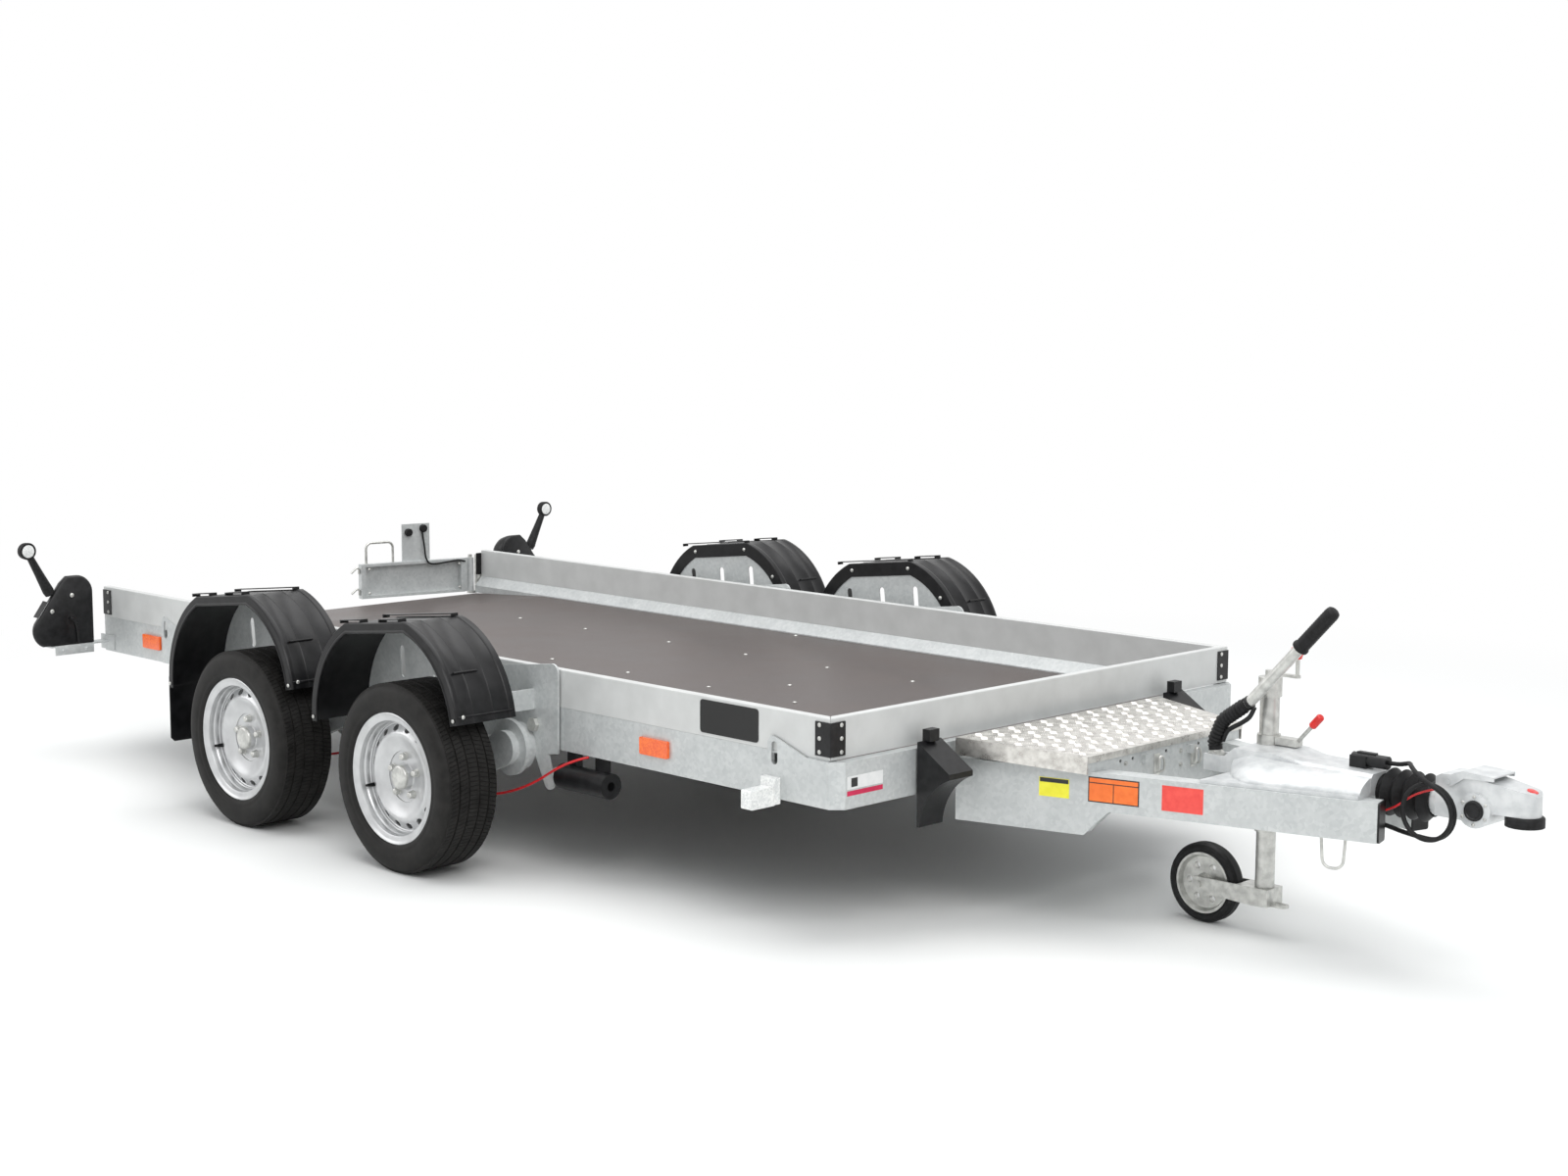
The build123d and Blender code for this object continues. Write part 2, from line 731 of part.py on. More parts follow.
        # Rim: a well base with a slotted disc, a hub with its brake drum, and a dust cap
        with BuildPart() as rim:
            with BuildSketch(cross_plane(x, sign * wheel_side, tyre_radius)):
                with BuildLine():
                    Polyline(*[(sign * y, r) for y, r in (
                        (82, 182.5), (82, 176), (74, 155), (40, 151), (44, 138), (52, 128),
                        (54, 104), (40, 92), (34, 60), (42, 50), (44, 40), (66, 36), (70, 24),
                        (70, 0), (56, 0), (56, stub_radius + 0.3),
                        (-124, stub_radius + 0.3), (-124, 60), (-112, 104), (-60, 104),
                        (-60, 60), (24, 60), (30, 96), (46, 108), (44, 126), (36, 134),
                        (32, 146), (20, 151), (-74, 155), (-82, 176), (-82, 182.5), (-77, 182.5),
                        (-76, 177), (-75.6, rim_radius), (75.6, rim_radius), (76, 177), (77, 182.5),
                    )], close=True)
                make_face()
            revolve(axis=axle)
            with BuildSketch(Plane.XZ.offset(-sign * (wheel_side + 90))):
                with Locations((x, tyre_radius)):
                    with PolarLocations(118, 16):
                        SlotOverall(24, 11, rotation=90)
            extrude(amount=sign * 70, mode=Mode.SUBTRACT)
            with BuildSketch(Plane.XZ.offset(-sign * (wheel_side + 52))):
                with Locations((x, tyre_radius)):
                    with PolarLocations(56, 5, start_angle=18):
                        RegularPolygon(11, 6)
            extrude(amount=sign * 20)
        save(rim, f"rim_{end}_{side}")


# Overrun housing: a casting on the beams, bored for the draw shaft and the jockey clamp
draw_stroke = 90.0
draw_shaft_rear = 790.0
draw_shaft_front = 1160.0
housing_rear_half = 78.0
housing_front_half = 62.0
housing_rear_top = 482.0
housing_front_top = 469.0
flange_thick = 8.0
flange_rear = 640.0
housing_base = beam_top + seat
jockey_x = front_x + jockey_forward
lever_x = front_x + lever_forward
lever_z = 436.0
with BuildPart() as overrun_housing:
    with BuildSketch(Plane.XY.offset(housing_base)):
        with BuildLine():
            rear_half = beam_inner(flange_rear) + 0.8 * beam_width
            front_half = beam_inner(housing_front) + 0.8 * beam_width
            Polyline(
                (front_x + flange_rear, rear_half), (front_x + housing_front, front_half),
                (front_x + housing_front, -front_half), (front_x + flange_rear, -rear_half),
                close=True,
            )
        make_face()
    extrude(amount=flange_thick)
    with BuildSketch(Plane.XY.offset(housing_base)):
        with BuildLine():
            Polyline(
                (front_x + housing_rear, housing_rear_half),
                (front_x + housing_front, housing_front_half),
                (front_x + housing_front, -housing_front_half),
                (front_x + housing_rear, -housing_rear_half), close=True,
            )
        make_face()
    body = extrude(amount=housing_rear_top + 10 - housing_base)
    with BuildSketch(side_plane(front_x, -housing_rear_half - 1, 0)):
        with BuildLine():
            Polyline(
                (housing_rear - 1, 452), (housing_rear + 34, housing_rear_top),
                (housing_rear + 150, housing_rear_top), (housing_rear + 185, housing_rear_top - 8),
                (housing_front + 1, housing_front_top), (housing_front + 1, 500),
                (housing_rear - 1, 500), close=True,
            )
        make_face()
    extrude(amount=-2 * housing_rear_half - 2, mode=Mode.SUBTRACT)
    slope_edges = overrun_housing.edges().filter_by(
        lambda edge: edge.center().Z > 465 and abs(edge.center().Y) > 55 and edge.length > 200
    )
    chamfer(slope_edges, 12)
    with BuildSketch(cross_plane(front_x + 697, 0, shaft_height)):
        Circle(40)
    extrude(amount=housing_front - 697)
    with BuildSketch(cross_plane(front_x + 695, 0, shaft_height)):
        Circle(shaft_radius + stroke_clearance)
    extrude(amount=400, mode=Mode.SUBTRACT)
    with BuildSketch(Plane.XY.offset(380)):
        with Locations((jockey_x, jockey_side)):
            Circle(jockey_collar_radius + seat)
    extrude(amount=120, mode=Mode.SUBTRACT)
    with BuildSketch(side_plane(front_x, -lever_side - 26, 0)):
        with Locations((lever_forward + 12, (housing_base + 458) / 2)):
            Rectangle(60, 458 - housing_base)
    cheek = extrude(amount=-5)
    with BuildSketch(side_plane(front_x, -lever_side + 21, 0)):
        with Locations((lever_forward + 12, (housing_base + 458) / 2)):
            Rectangle(60, 458 - housing_base)
    extrude(amount=-5)
    with BuildSketch(side_plane(lever_x, -lever_side - 25, lever_z)):
        Circle(7)
    extrude(amount=-50)
save(overrun_housing, "overrun_housing")

# Coupling head: the shaft, the stabiliser body and the ball cup in its nose
head_rear = 1146.0
cup_height = 430.0
cup_radius = ball_radius + 0.2
head_half = 44.0
dock_top = 421.0
dock_thick = 24.0
boss_forward = 1268.0
boss_radius = 40.0
handle_pivot_x = front_x + 1200.0
handle_pivot_z = 480.0
with BuildPart() as coupling_head:
    with BuildSketch(side_plane(front_x, -head_half, 0)):
        with BuildLine():
            Polyline(
                (head_rear + 20, 396), (head_rear + 20, 488), (head_rear + 34, 496), (1263, 498),
                (1391, 477), (1400, 468), (1403, dock_top + seat), (1310, dock_top + seat),
                (1285, 396), close=True,
            )
        make_face()
    extrude(amount=-2 * head_half)
    with BuildSketch(Plane.XY.offset(390)):
        with Locations((front_x + ball_forward, 0)):
            Circle(36)
        with Locations((front_x + 1232, 0)):
            Rectangle(132, 2 * head_half)
        make_hull()
    extrude(amount=120, mode=Mode.INTERSECT)
    with BuildSketch(side_plane(front_x + boss_forward, -head_half - 8, shaft_height)):
        Circle(boss_radius)
    extrude(amount=-2 * head_half - 16)
    with BuildSketch(cross_plane(front_x + head_rear, 0, shaft_height)):
        Circle(36)
    extrude(amount=40)
    with BuildSketch(cross_plane(front_x + draw_shaft_rear, 0, shaft_height)):
        Circle(shaft_radius)
    extrude(amount=draw_shaft_front - draw_shaft_rear)
    with BuildSketch(side_plane(handle_pivot_x, -head_half - 7, handle_pivot_z)):
        Circle(6)
    extrude(amount=-2 * head_half - 14)
    with BuildSketch(Plane.XY.offset(dock_top)):
        with Locations((front_x + ball_forward, 0)):
            Circle(cup_radius)
    extrude(amount=cup_height - dock_top, mode=Mode.SUBTRACT)
    with Locations((front_x + ball_forward, 0, cup_height)):
        Sphere(cup_radius, mode=Mode.SUBTRACT)
save(coupling_head, "coupling_head")

# Coupling handle, a bridge over the head that lifts at its front end
with BuildPart() as coupling_handle:
    with BuildSketch(side_plane(front_x, -head_half - 6, 0)):
        with BuildLine():
            Polyline(
                (1192, 472), (1210, 472), (1240, 494), (1312, 496), (1312, 506), (1236, 510),
                (1216, 503), (1192, 490), close=True,
            )
        make_face()
        with Locations((1200, handle_pivot_z)):
            Circle(6.4, mode=Mode.SUBTRACT)
    extrude(amount=-2 * head_half - 12)
    with BuildSketch(Plane.XZ.offset(head_half + 1.5)):
        with Locations((front_x + 1250, 482)):
            Rectangle(160, 40.6)
    extrude(amount=-2 * head_half - 3, mode=Mode.SUBTRACT)
save(coupling_handle, "coupling_handle")

# Rubber buffer ring under the nose, and the folded bellows round the shaft
with BuildPart() as soft_dock:
    with BuildSketch(Plane.XY.offset(dock_top)):
        with Locations((front_x + ball_forward, 0)):
            Circle(dock_radius)
            Circle(ball_radius + 5, mode=Mode.SUBTRACT)
    extrude(amount=-dock_thick)
    fillet(soft_dock.edges().group_by(Axis.Z)[-1].sort_by(SortBy.LENGTH)[-1], 6)
save(soft_dock, "soft_dock")

bellows_radius = 57.0
bellows_back = housing_front + seat
bellows_length = head_rear - seat - bellows_back
bellows_folds = 4
fold_length = (bellows_length - 14) / bellows_folds
fold_points = [(bellows_back, 40), (bellows_back + 7, 40)]
for number in range(bellows_folds):
    start = bellows_back + 7 + number * fold_length
    fold_points += [(start + fold_length / 2, bellows_radius), (start + fold_length, 42)]
fold_points.append((bellows_back + bellows_length, 42))
with BuildPart() as draw_bellows:
    with BuildSketch(side_plane(front_x, 0, shaft_height)):
        with BuildLine():
            Polyline(*fold_points)
            offset(amount=3, side=Side.RIGHT)
        make_face()
    revolve(axis=Axis((0, 0, shaft_height), (1, 0, 0)))
save(draw_bellows, "draw_bellows")

# Brake lever: a bent tube on a pivot block, with a folded sleeve at its foot and a grip
lever_path = ((0, 0), (-4, 52), (18, 105), (94, 160), (228, 305))
grip_length = 138.0
with BuildPart() as brake_lever:
    with BuildSketch(side_plane(lever_x, -lever_side - 18, lever_z)):
        with Locations((0, 6)):
            RectangleRounded(30, 44, 14)
        Circle(7.4, mode=Mode.SUBTRACT)
    extrude(amount=-36)
    with BuildLine(side_plane(lever_x, -lever_side, lever_z)) as lever_line:
        FilletPolyline(
            (lever_path[0][0], 22), *lever_path[1:4], lever_path[4], radius=(24, 40, 40)
        )
    with BuildSketch(Plane(lever_line.wires()[0] @ 0, z_dir=lever_line.wires()[0] % 0)):
        Circle(14)
    sweep(path=lever_line.wires()[0])
save(brake_lever, "brake_lever")

with BuildPart() as lever_sleeve:
    with BuildLine(side_plane(lever_x, -lever_side, lever_z)) as sleeve_line:
        FilletPolyline((-1.07, 30), (-4, 52), (18, 105), (88, 155.66), radius=(24, 40))
    with BuildSketch(Plane(sleeve_line.wires()[0] @ 0, z_dir=sleeve_line.wires()[0] % 0)):
        Circle(19)
        Circle(14 + seat, mode=Mode.SUBTRACT)
    sweep(path=sleeve_line.wires()[0])
save(lever_sleeve, "lever_sleeve")

grip_start, grip_end = lever_path[3:5]
grip_turn = degrees(atan2(grip_end[1] - grip_start[1], grip_end[0] - grip_start[0]))
grip_along = Plane(
    origin=(lever_x + grip_end[0], -lever_side, lever_z + grip_end[1]),
    z_dir=(cos(radians(grip_turn)), 0, sin(radians(grip_turn))),
)
with BuildPart() as lever_grip:
    with BuildSketch(grip_along.offset(seat)):
        Circle(19)
    extrude(amount=grip_length)
    fillet(lever_grip.edges().filter_by(GeomType.CIRCLE), 7)
save(lever_grip, "lever_grip")

# Jockey wheel: a clamp tube in the housing, the sliding leg, its crank, the fork and the wheel
clamp_top = 506.0
clamp_bottom = 263.0
leg_bottom = 122.0
leg_top = 600.0
head_top = 648.0
clamp_bore = jockey_tube_radius + stroke_clearance
with BuildPart() as jockey_clamp:
    with BuildSketch(Plane.XY.offset(clamp_bottom)):
        with Locations((jockey_x, jockey_side)):
            Circle(jockey_collar_radius)
            Circle(clamp_bore, mode=Mode.SUBTRACT)
    extrude(amount=clamp_top - clamp_bottom)
    with BuildSketch(cross_plane(jockey_x + jockey_collar_radius - 2, 0, 494)):
        with Locations((jockey_side, 0)):
            Rectangle(30, 18)
    extrude(amount=60)
    with BuildLine() as clamp_screw:
        Line((jockey_x + 82, jockey_side, 496), (jockey_x + 124, jockey_side - 6, 540))
    with BuildSketch(Plane(clamp_screw.line @ 0, z_dir=clamp_screw.line % 0)):
        Circle(5)
    sweep(path=clamp_screw.line)
save(jockey_clamp, "jockey_clamp")

knob_plane = Plane(clamp_screw.line @ 1, z_dir=clamp_screw.line % 1)
with BuildPart() as clamp_knob:
    with BuildSketch(knob_plane.offset(seat)):
        Circle(10)
    extrude(amount=42)
    fillet(clamp_knob.edges().filter_by(GeomType.CIRCLE), 6)
save(clamp_knob, "clamp_knob")

with BuildPart() as jockey_leg:
    with BuildSketch(Plane.XY.offset(leg_bottom)):
        with Locations((jockey_x, jockey_side)):
            Circle(jockey_tube_radius)
    extrude(amount=leg_top - leg_bottom)
    with BuildSketch(Plane.XY.offset(leg_top)):
        with Locations((jockey_x, jockey_side)):
            Circle(jockey_collar_radius)
    extrude(amount=head_top - leg_top)
save(jockey_leg, "jockey_leg")

crank_reach = 76.0
crank_rise = 46.0
with BuildPart() as jockey_crank:
    with BuildSketch(Plane.XY.offset(head_top + seat)):
        with Locations((jockey_x, jockey_side)):
            Circle(13)
    extrude(amount=16)
    with BuildSketch(Plane.XY.offset(head_top + 5)):
        with Locations((jockey_x + crank_reach / 2, jockey_side)):
            SlotOverall(crank_reach + 16, 16)
    extrude(amount=7)
    with BuildSketch(Plane.XY.offset(head_top + 6)):
        with Locations((jockey_x + crank_reach, jockey_side)):
            Circle(5)
    extrude(amount=crank_rise)
save(jockey_crank, "jockey_crank")

with BuildPart() as crank_knob:
    with BuildSketch(Plane.XY.offset(head_top + 6 + crank_rise + seat)):
        with Locations((jockey_x + crank_reach, jockey_side)):
            Circle(9)
    extrude(amount=28, taper=-14)
save(crank_knob, "crank_knob")

fork_top = leg_bottom - seat
fork_height = 44.0
fork_half = jockey_wheel_width / 2 + 6
fork_wall = 4.0
fork_end = 20.0
axle_reach = 6.0
jockey_wheel_x = jockey_x - jockey_trail
with BuildPart() as jockey_fork:
    with BuildSketch(side_plane(jockey_x, jockey_side - fork_half - fork_wall, 0)):
        with BuildLine():
            Polyline(
                (-jockey_trail - fork_end, jockey_wheel_radius - 18),
                (-jockey_trail - fork_end, jockey_wheel_radius + 18),
                (-40, fork_top), (30, fork_top), (30, fork_top - fork_height),
                (-20, fork_top - fork_height - 2), close=True,
            )
        make_face()
    extrude(amount=-2 * fork_half - 2 * fork_wall)
    with BuildSketch(Plane.XY.offset(0)):
        with Locations((jockey_x - jockey_trail / 2 - 62, jockey_side)):
            Rectangle(jockey_trail, 2 * fork_half)
    extrude(amount=200, mode=Mode.SUBTRACT)
    with BuildSketch(Plane.XY.offset(fork_top - fork_height - 2)):
        with Locations((jockey_x - 12, jockey_side)):
            Rectangle(74, 2 * fork_half)
    extrude(amount=fork_height - 4, mode=Mode.SUBTRACT)
    with BuildSketch(Plane.XY.offset(fork_top - fork_height)):
        with Locations((jockey_x, jockey_side)):
            Circle(22)
    extrude(amount=fork_height - 2)
    axle_half = fork_half + fork_wall + axle_reach
    with BuildSketch(side_plane(jockey_wheel_x, jockey_side - axle_half, jockey_wheel_radius)):
        Circle(8)
    extrude(amount=-2 * axle_half)
    with BuildSketch(Plane.XY.offset(fork_top - fork_height)):
        with Locations((jockey_x + 44, jockey_side)):
            SlotOverall(50, 34)
            SlotOverall(36, 20, mode=Mode.SUBTRACT)
    extrude(amount=6)
save(jockey_fork, "jockey_fork")

jockey_axle = Axis((jockey_wheel_x, 0, jockey_wheel_radius), (0, 1, 0))
with BuildPart() as jockey_wheel:
    with BuildSketch(cross_plane(jockey_wheel_x, jockey_side, jockey_wheel_radius)):
        with BuildLine():
            half = jockey_wheel_width / 2
            Polyline(
                (-half, 8.4), (-half, 20), (-8, 24), (-8, 66), (-half + 4, 72), (-half + 4, 78),
                (half - 4, 78), (half - 4, 72), (8, 66), (8, 24), (half, 20), (half, 8.4),
                close=True,
            )
        make_face()
    revolve(axis=jockey_axle)
    with BuildSketch(side_plane(jockey_wheel_x, jockey_side - 10, jockey_wheel_radius)):
        with PolarLocations(46, 6):
            Circle(9)
    extrude(amount=-20, mode=Mode.SUBTRACT)
save(jockey_wheel, "jockey_wheel")

with BuildPart() as jockey_tyre:
    with BuildSketch(cross_plane(jockey_wheel_x, jockey_side, jockey_wheel_radius)):
        with BuildLine():
            Polyline(
                (-half + 6, 78 + seat), (-half + 1, 84), (-half, 90), (-half + 5, 98), (-10, 102),
                (10, 102), (half - 5, 98), (half, 90), (half - 1, 84), (half - 6, 78 + seat),
                close=True,
            )
        make_face()
    revolve(axis=jockey_axle)
save(jockey_tyre, "jockey_tyre")

# Lowering cylinders on the rails' feet, one ahead of each carrier, and their sliding rods
rod_radius = 12.0
barrel_radius = 35.0
barrel_length = 200.0
barrel_gap = 14.0
barrel_z = pivot_z - lug_below + 22
barrel_side = carrier_side - 1 - rod_radius
with BuildPart() as lowering_cylinders:
    for x in axle_x.values():
        barrel_x = x + pivot_ahead + lug_ahead + barrel_gap + 24
        with BuildSketch(cross_plane(barrel_x, barrel_side, barrel_z)):
            Circle(barrel_radius)
            Circle(rod_radius + stroke_clearance, mode=Mode.SUBTRACT)
        extrude(amount=barrel_length)
        for ahead in (24, barrel_length - 60):
            with BuildSketch(side_plane(barrel_x + ahead, barrel_side - 20, 0)):
                with Locations((18, (barrel_z + 20 + ground_clearance - seat) / 2)):
                    Rectangle(36, ground_clearance - seat - barrel_z - 20)
            extrude(amount=-24)
    mirror(about=Plane.XZ)
save(lowering_cylinders, "lowering_cylinders")

with BuildPart() as lowering_rods:
    for x in axle_x.values():
        barrel_x = x + pivot_ahead + lug_ahead + barrel_gap + 24
        with BuildSketch(cross_plane(barrel_x - 26, barrel_side, barrel_z)):
            Circle(rod_radius)
        extrude(amount=barrel_length - 10)
        with BuildSketch(side_plane(barrel_x - 30, barrel_side - 10, barrel_z)):
            Circle(20)
        extrude(amount=-20)
    mirror(about=Plane.XZ)
save(lowering_rods, "lowering_rods")

# Tail lamps on their brackets, each with a marker lamp on a rubber arm
lamp_gap = 56.0
lamp_width = 220.0
lamp_inner = half_deck + lamp_gap
lamp_outer = lamp_inner + lamp_width
lamp_bottom = 380.0
lamp_top = 615.0
lamp_front = rear_x + 30.0
lamp_rear = rear_x - 30.0
slope_top = (lamp_outer - 100, lamp_top - 22)
slope_foot = (lamp_outer - 6, lamp_bottom + 80)
with BuildPart() as tail_lamps:
    with BuildSketch(cross_plane(lamp_rear, 0, 0)):
        with BuildLine():
            ThreePointArc(
                slope_foot, (lamp_outer, lamp_bottom + 44), (lamp_outer - 34, lamp_bottom),
            )
            Polyline(
                (lamp_outer - 34, lamp_bottom), (lamp_inner, lamp_bottom),
                (lamp_inner, lamp_top - 56),
            )
            ThreePointArc(
                (lamp_inner, lamp_top - 56), (lamp_inner + 17, lamp_top - 17),
                (lamp_inner + 56, lamp_top),
            )
            Polyline(
                (lamp_inner + 56, lamp_top), (lamp_outer - 125, lamp_top), slope_top, slope_foot,
            )
        make_face()
    extrude(amount=lamp_front - lamp_rear)
    with BuildSketch(Plane.XY.offset(lamp_bottom - 1)):
        with BuildLine():
            Polyline(
                (lamp_rear - 1, lamp_outer - 56), (lamp_rear - 1, lamp_outer + 1),
                (lamp_front - 4, lamp_outer + 1), close=True,
            )
        make_face()
    extrude(amount=lamp_top - lamp_bottom + 2, mode=Mode.SUBTRACT)
    mirror(about=Plane.XZ)
save(tail_lamps, "tail_lamps")

with BuildPart() as tail_lamp_brackets:
    with BuildSketch(Plane.XY.offset(lamp_bottom - seat)):
        with Locations((rear_x + 4, (half_deck + seat + lamp_outer - 60) / 2)):
            Rectangle(50, lamp_outer - 60 - half_deck - seat)
    extrude(amount=-5)
    with BuildSketch(Plane.XZ.offset(-half_deck - seat)):
        with Locations((rear_x + 22, lamp_bottom - 5)):
            Rectangle(86, 50)
    extrude(amount=-5)
    mirror(about=Plane.XZ)
save(tail_lamp_brackets, "tail_lamp_brackets")

# Each arm stands on its lamp's sloping side and carries the marker lamp at its end
marker_out = 8.0
marker_side = lamp_outer + marker_out
marker_z = 709.0
marker_x = rear_x + 12.0
marker_radius = 29.0
marker_thick = 26.0
arm_foot_radius = 17.0
arm_neck_radius = 11.0
arm_foot_share = 0.3
arm_neck_inset = 24.0
slope_run = hypot(slope_foot[0] - slope_top[0], slope_foot[1] - slope_top[1])
slope_normal = ((slope_top[1] - slope_foot[1]) / slope_run, (slope_foot[0] - slope_top[0]) / slope_run)
foot_y, foot_z = [
    high + arm_foot_share * (low - high) + seat * outward
    for high, low, outward in zip(slope_top, slope_foot, slope_normal)
]
arm_turn = atan2(marker_z - foot_z, marker_side - foot_y)
neck_y = marker_side - arm_neck_inset * cos(arm_turn)
neck_z = marker_z - arm_neck_inset * sin(arm_turn)
foot_plane = Plane(origin=(marker_x, foot_y, foot_z), x_dir=(1, 0, 0), z_dir=(0, *slope_normal))
neck_plane = Plane(
    origin=(marker_x, neck_y, neck_z), x_dir=(1, 0, 0), z_dir=(0, cos(arm_turn), sin(arm_turn)),
)
with BuildPart() as marker_arms:
    with BuildSketch(foot_plane):
        Circle(arm_foot_radius)
    with BuildSketch(neck_plane):
        Circle(arm_neck_radius)
    loft()
    with BuildSketch(cross_plane(marker_x - marker_thick / 2, marker_side, marker_z)):
        Circle(marker_radius)
    extrude(amount=marker_thick)
    mirror(about=Plane.XZ)
save(marker_arms, "marker_arms")

# Gate: a folded panel on the left rear post, with a handle, latch rods and a lamp bracket
gate_x = rear_x - gate_behind
gate_inset = 65.0
gate_side = half_deck - gate_inset
gate_bottom = 406.0
gate_plane = Plane(
    origin=(gate_x, gate_side, gate_bottom),
    x_dir=(-sin(radians(gate_open)), -cos(radians(gate_open)), 0),
    z_dir=(-cos(radians(gate_open)), sin(radians(gate_open)), 0),
)
with BuildPart() as gate_post:
    with BuildSketch(Plane.XY.offset(gate_bottom)):
        with Locations((gate_x, gate_side)):
            Circle(8)
    extrude(amount=gate_height + 12)
    with BuildSketch(Plane.XY.offset(gate_bottom - 8)):
        with Locations((gate_x, gate_side)):
            Circle(14)
        with Locations((gate_x + 4.4, gate_side + 30)):
            Rectangle(24, 66)
    extrude(amount=8 - seat)
    with BuildSketch(Plane.XY.offset(gate_bottom - 8)):
        with Locations((gate_x + 6.4, half_deck - 22)):
            Rectangle(20, 40)
    extrude(amount=gate_height + 18)
save(gate_post, "gate_post")

with BuildPart() as gate:
    with BuildSketch(gate_plane.offset(-gate_thick / 2)):
        with Locations((gate_length / 2 + 14, gate_height / 2)):
            Rectangle(gate_length - 28, gate_height)
    extrude(amount=gate_thick)
    with BuildSketch(gate_plane.offset(-gate_thick / 2 - 1)):
        with Locations((gate_length / 2 + 14, gate_height / 2)):
            Rectangle(gate_length - 64, gate_height - 20)
    extrude(amount=gate_thick - 2, mode=Mode.SUBTRACT)
    with BuildSketch(Plane.XY.offset(gate_bottom)):
        with Locations((gate_x, gate_side)):
            Circle(14)
    extrude(amount=gate_height)
    with BuildSketch(gate_plane.offset(-3)):
        with Locations((20, gate_height / 2)):
            Rectangle(30, gate_height)
    extrude(amount=6)
    with BuildSketch(Plane.XY.offset(gate_bottom - 1)):
        with Locations((gate_x, gate_side)):
            Circle(8.4)
    extrude(amount=gate_height + 2, mode=Mode.SUBTRACT)
    with BuildSketch(gate_plane.offset(-3)):
        with Locations((230, gate_height + 70)):
            Rectangle(115, 150)
    extrude(amount=6)
save(gate, "gate")

with BuildPart() as gate_handle:
    with BuildLine(gate_plane) as handle_line:
        FilletPolyline(
            (326, gate_height + seat), (326, gate_height + 80), (436, gate_height + 80),
            (436, gate_height + seat), radius=22,
        )
    with BuildSketch(Plane(handle_line.wires()[0] @ 0, z_dir=handle_line.wires()[0] % 0)):
        Circle(5)
    sweep(path=handle_line.wires()[0])
    with BuildLine(gate_plane) as upper_line:
        FilletPolyline(
            (gate_length + 4.3, 96), (gate_length + 4.3, 128), (gate_length + 36, 100),
            radius=8,
        )
    with BuildLine(gate_plane) as lower_line:
        FilletPolyline(
            (gate_length + 4.3, 14), (gate_length + 4.3, 46), (gate_length + 36, 20),
            radius=8,
        )
    for line in (upper_line, lower_line):
        with BuildSketch(Plane(line.wires()[0] @ 0, z_dir=line.wires()[0] % 0)):
            Circle(4)
        sweep(path=line.wires()[0])
save(gate_handle, "gate_handle")

# Loop below the right beam, measured along the beam
loop_from = 931.0
loop_to = 989.0
loop_drop = 76.0
loop_wire = 3.5
loop_bend = 22.0
with BuildPart() as beam_loop:
    with BuildLine(beam_plane.offset(beam_width / 2)) as loop_line:
        FilletPolyline(
            (loop_from, -seat), (loop_from + 5, -loop_drop), (loop_to - 5, -loop_drop),
            (loop_to, -seat), radius=loop_bend,
        )
    with BuildSketch(Plane(loop_line.wires()[0] @ 0, z_dir=loop_line.wires()[0] % 0)):
        Circle(loop_wire)
    sweep(path=loop_line.wires()[0])
    mirror(about=Plane.XZ, mode=Mode.REPLACE)
save(beam_loop, "beam_loop")

# Brake cables: from the frame to each wheel's back plate
with BuildPart() as brake_cables:
    for x in axle_x.values():
        with BuildLine() as cable_line:
            Spline(
                (x + 442, half_deck - 4, ground_clearance - 4), (x + 384, half_deck + 42, 314),
                (x + 302, half_deck + 50, 268), (x + 146, arm_outer - 9, 206),
                (x + 80, arm_outer - 4, 196),
            )
        with BuildSketch(Plane(cable_line.line @ 0, z_dir=cable_line.line % 0)):
            Circle(3.5)
        sweep(path=cable_line.line)
    mirror(about=Plane.XZ)
save(brake_cables, "brake_cables")


# Cords at the coupling: the lighting cable with its parked plug, and the breakaway rope
def cord_turns(points, largest):
    """The radius of each bend: what the shorter run beside it allows."""
    radii = []
    for before, corner, after in zip(points, points[1:], points[2:]):
        first = Vector(*corner) - Vector(*before)
        second = Vector(*after) - Vector(*corner)
        turn = radians(first.get_angle(second))
        radii.append(min(0.45 * min(first.length, second.length) / tan(turn / 2), largest))
    return radii


plug_radius = 16.0
plug_front = 1018.0
plug_z = 489.0
with BuildPart() as cable_plug:
    with BuildSketch(cross_plane(front_x + 925, 0, plug_z)):
        Circle(plug_radius)
    extrude(amount=plug_front - 925)
    with BuildSketch(Plane.XY.offset(housing_front_top + 2)):
        with Locations((front_x + 946, 0)):
            Rectangle(44, 34)
    extrude(amount=28)
    with BuildSketch(Plane.XY.offset(plug_z + 6)):
        with Locations((front_x + 962, 0)):
            Rectangle(48, 14)
    extrude(amount=13)
save(cable_plug, "cable_plug")

cable_radius = 5.5
loop_side = 67.0
loop_pitch = 14.0
loop_x = front_x + 1168
loop_z = 409.0
loop_reach = 66.0
loop_start = -105.0
loop_step = 30.0
loop_steps = 18


def loop_point(step):
    """A corner of the cable's hanging loop, a twelfth of a turn a step."""
    turn = radians(loop_start + loop_step * step)
    side = -loop_side - loop_pitch * step * loop_step / 360
    return loop_x + loop_reach * cos(turn), side, loop_z + loop_reach * sin(turn)


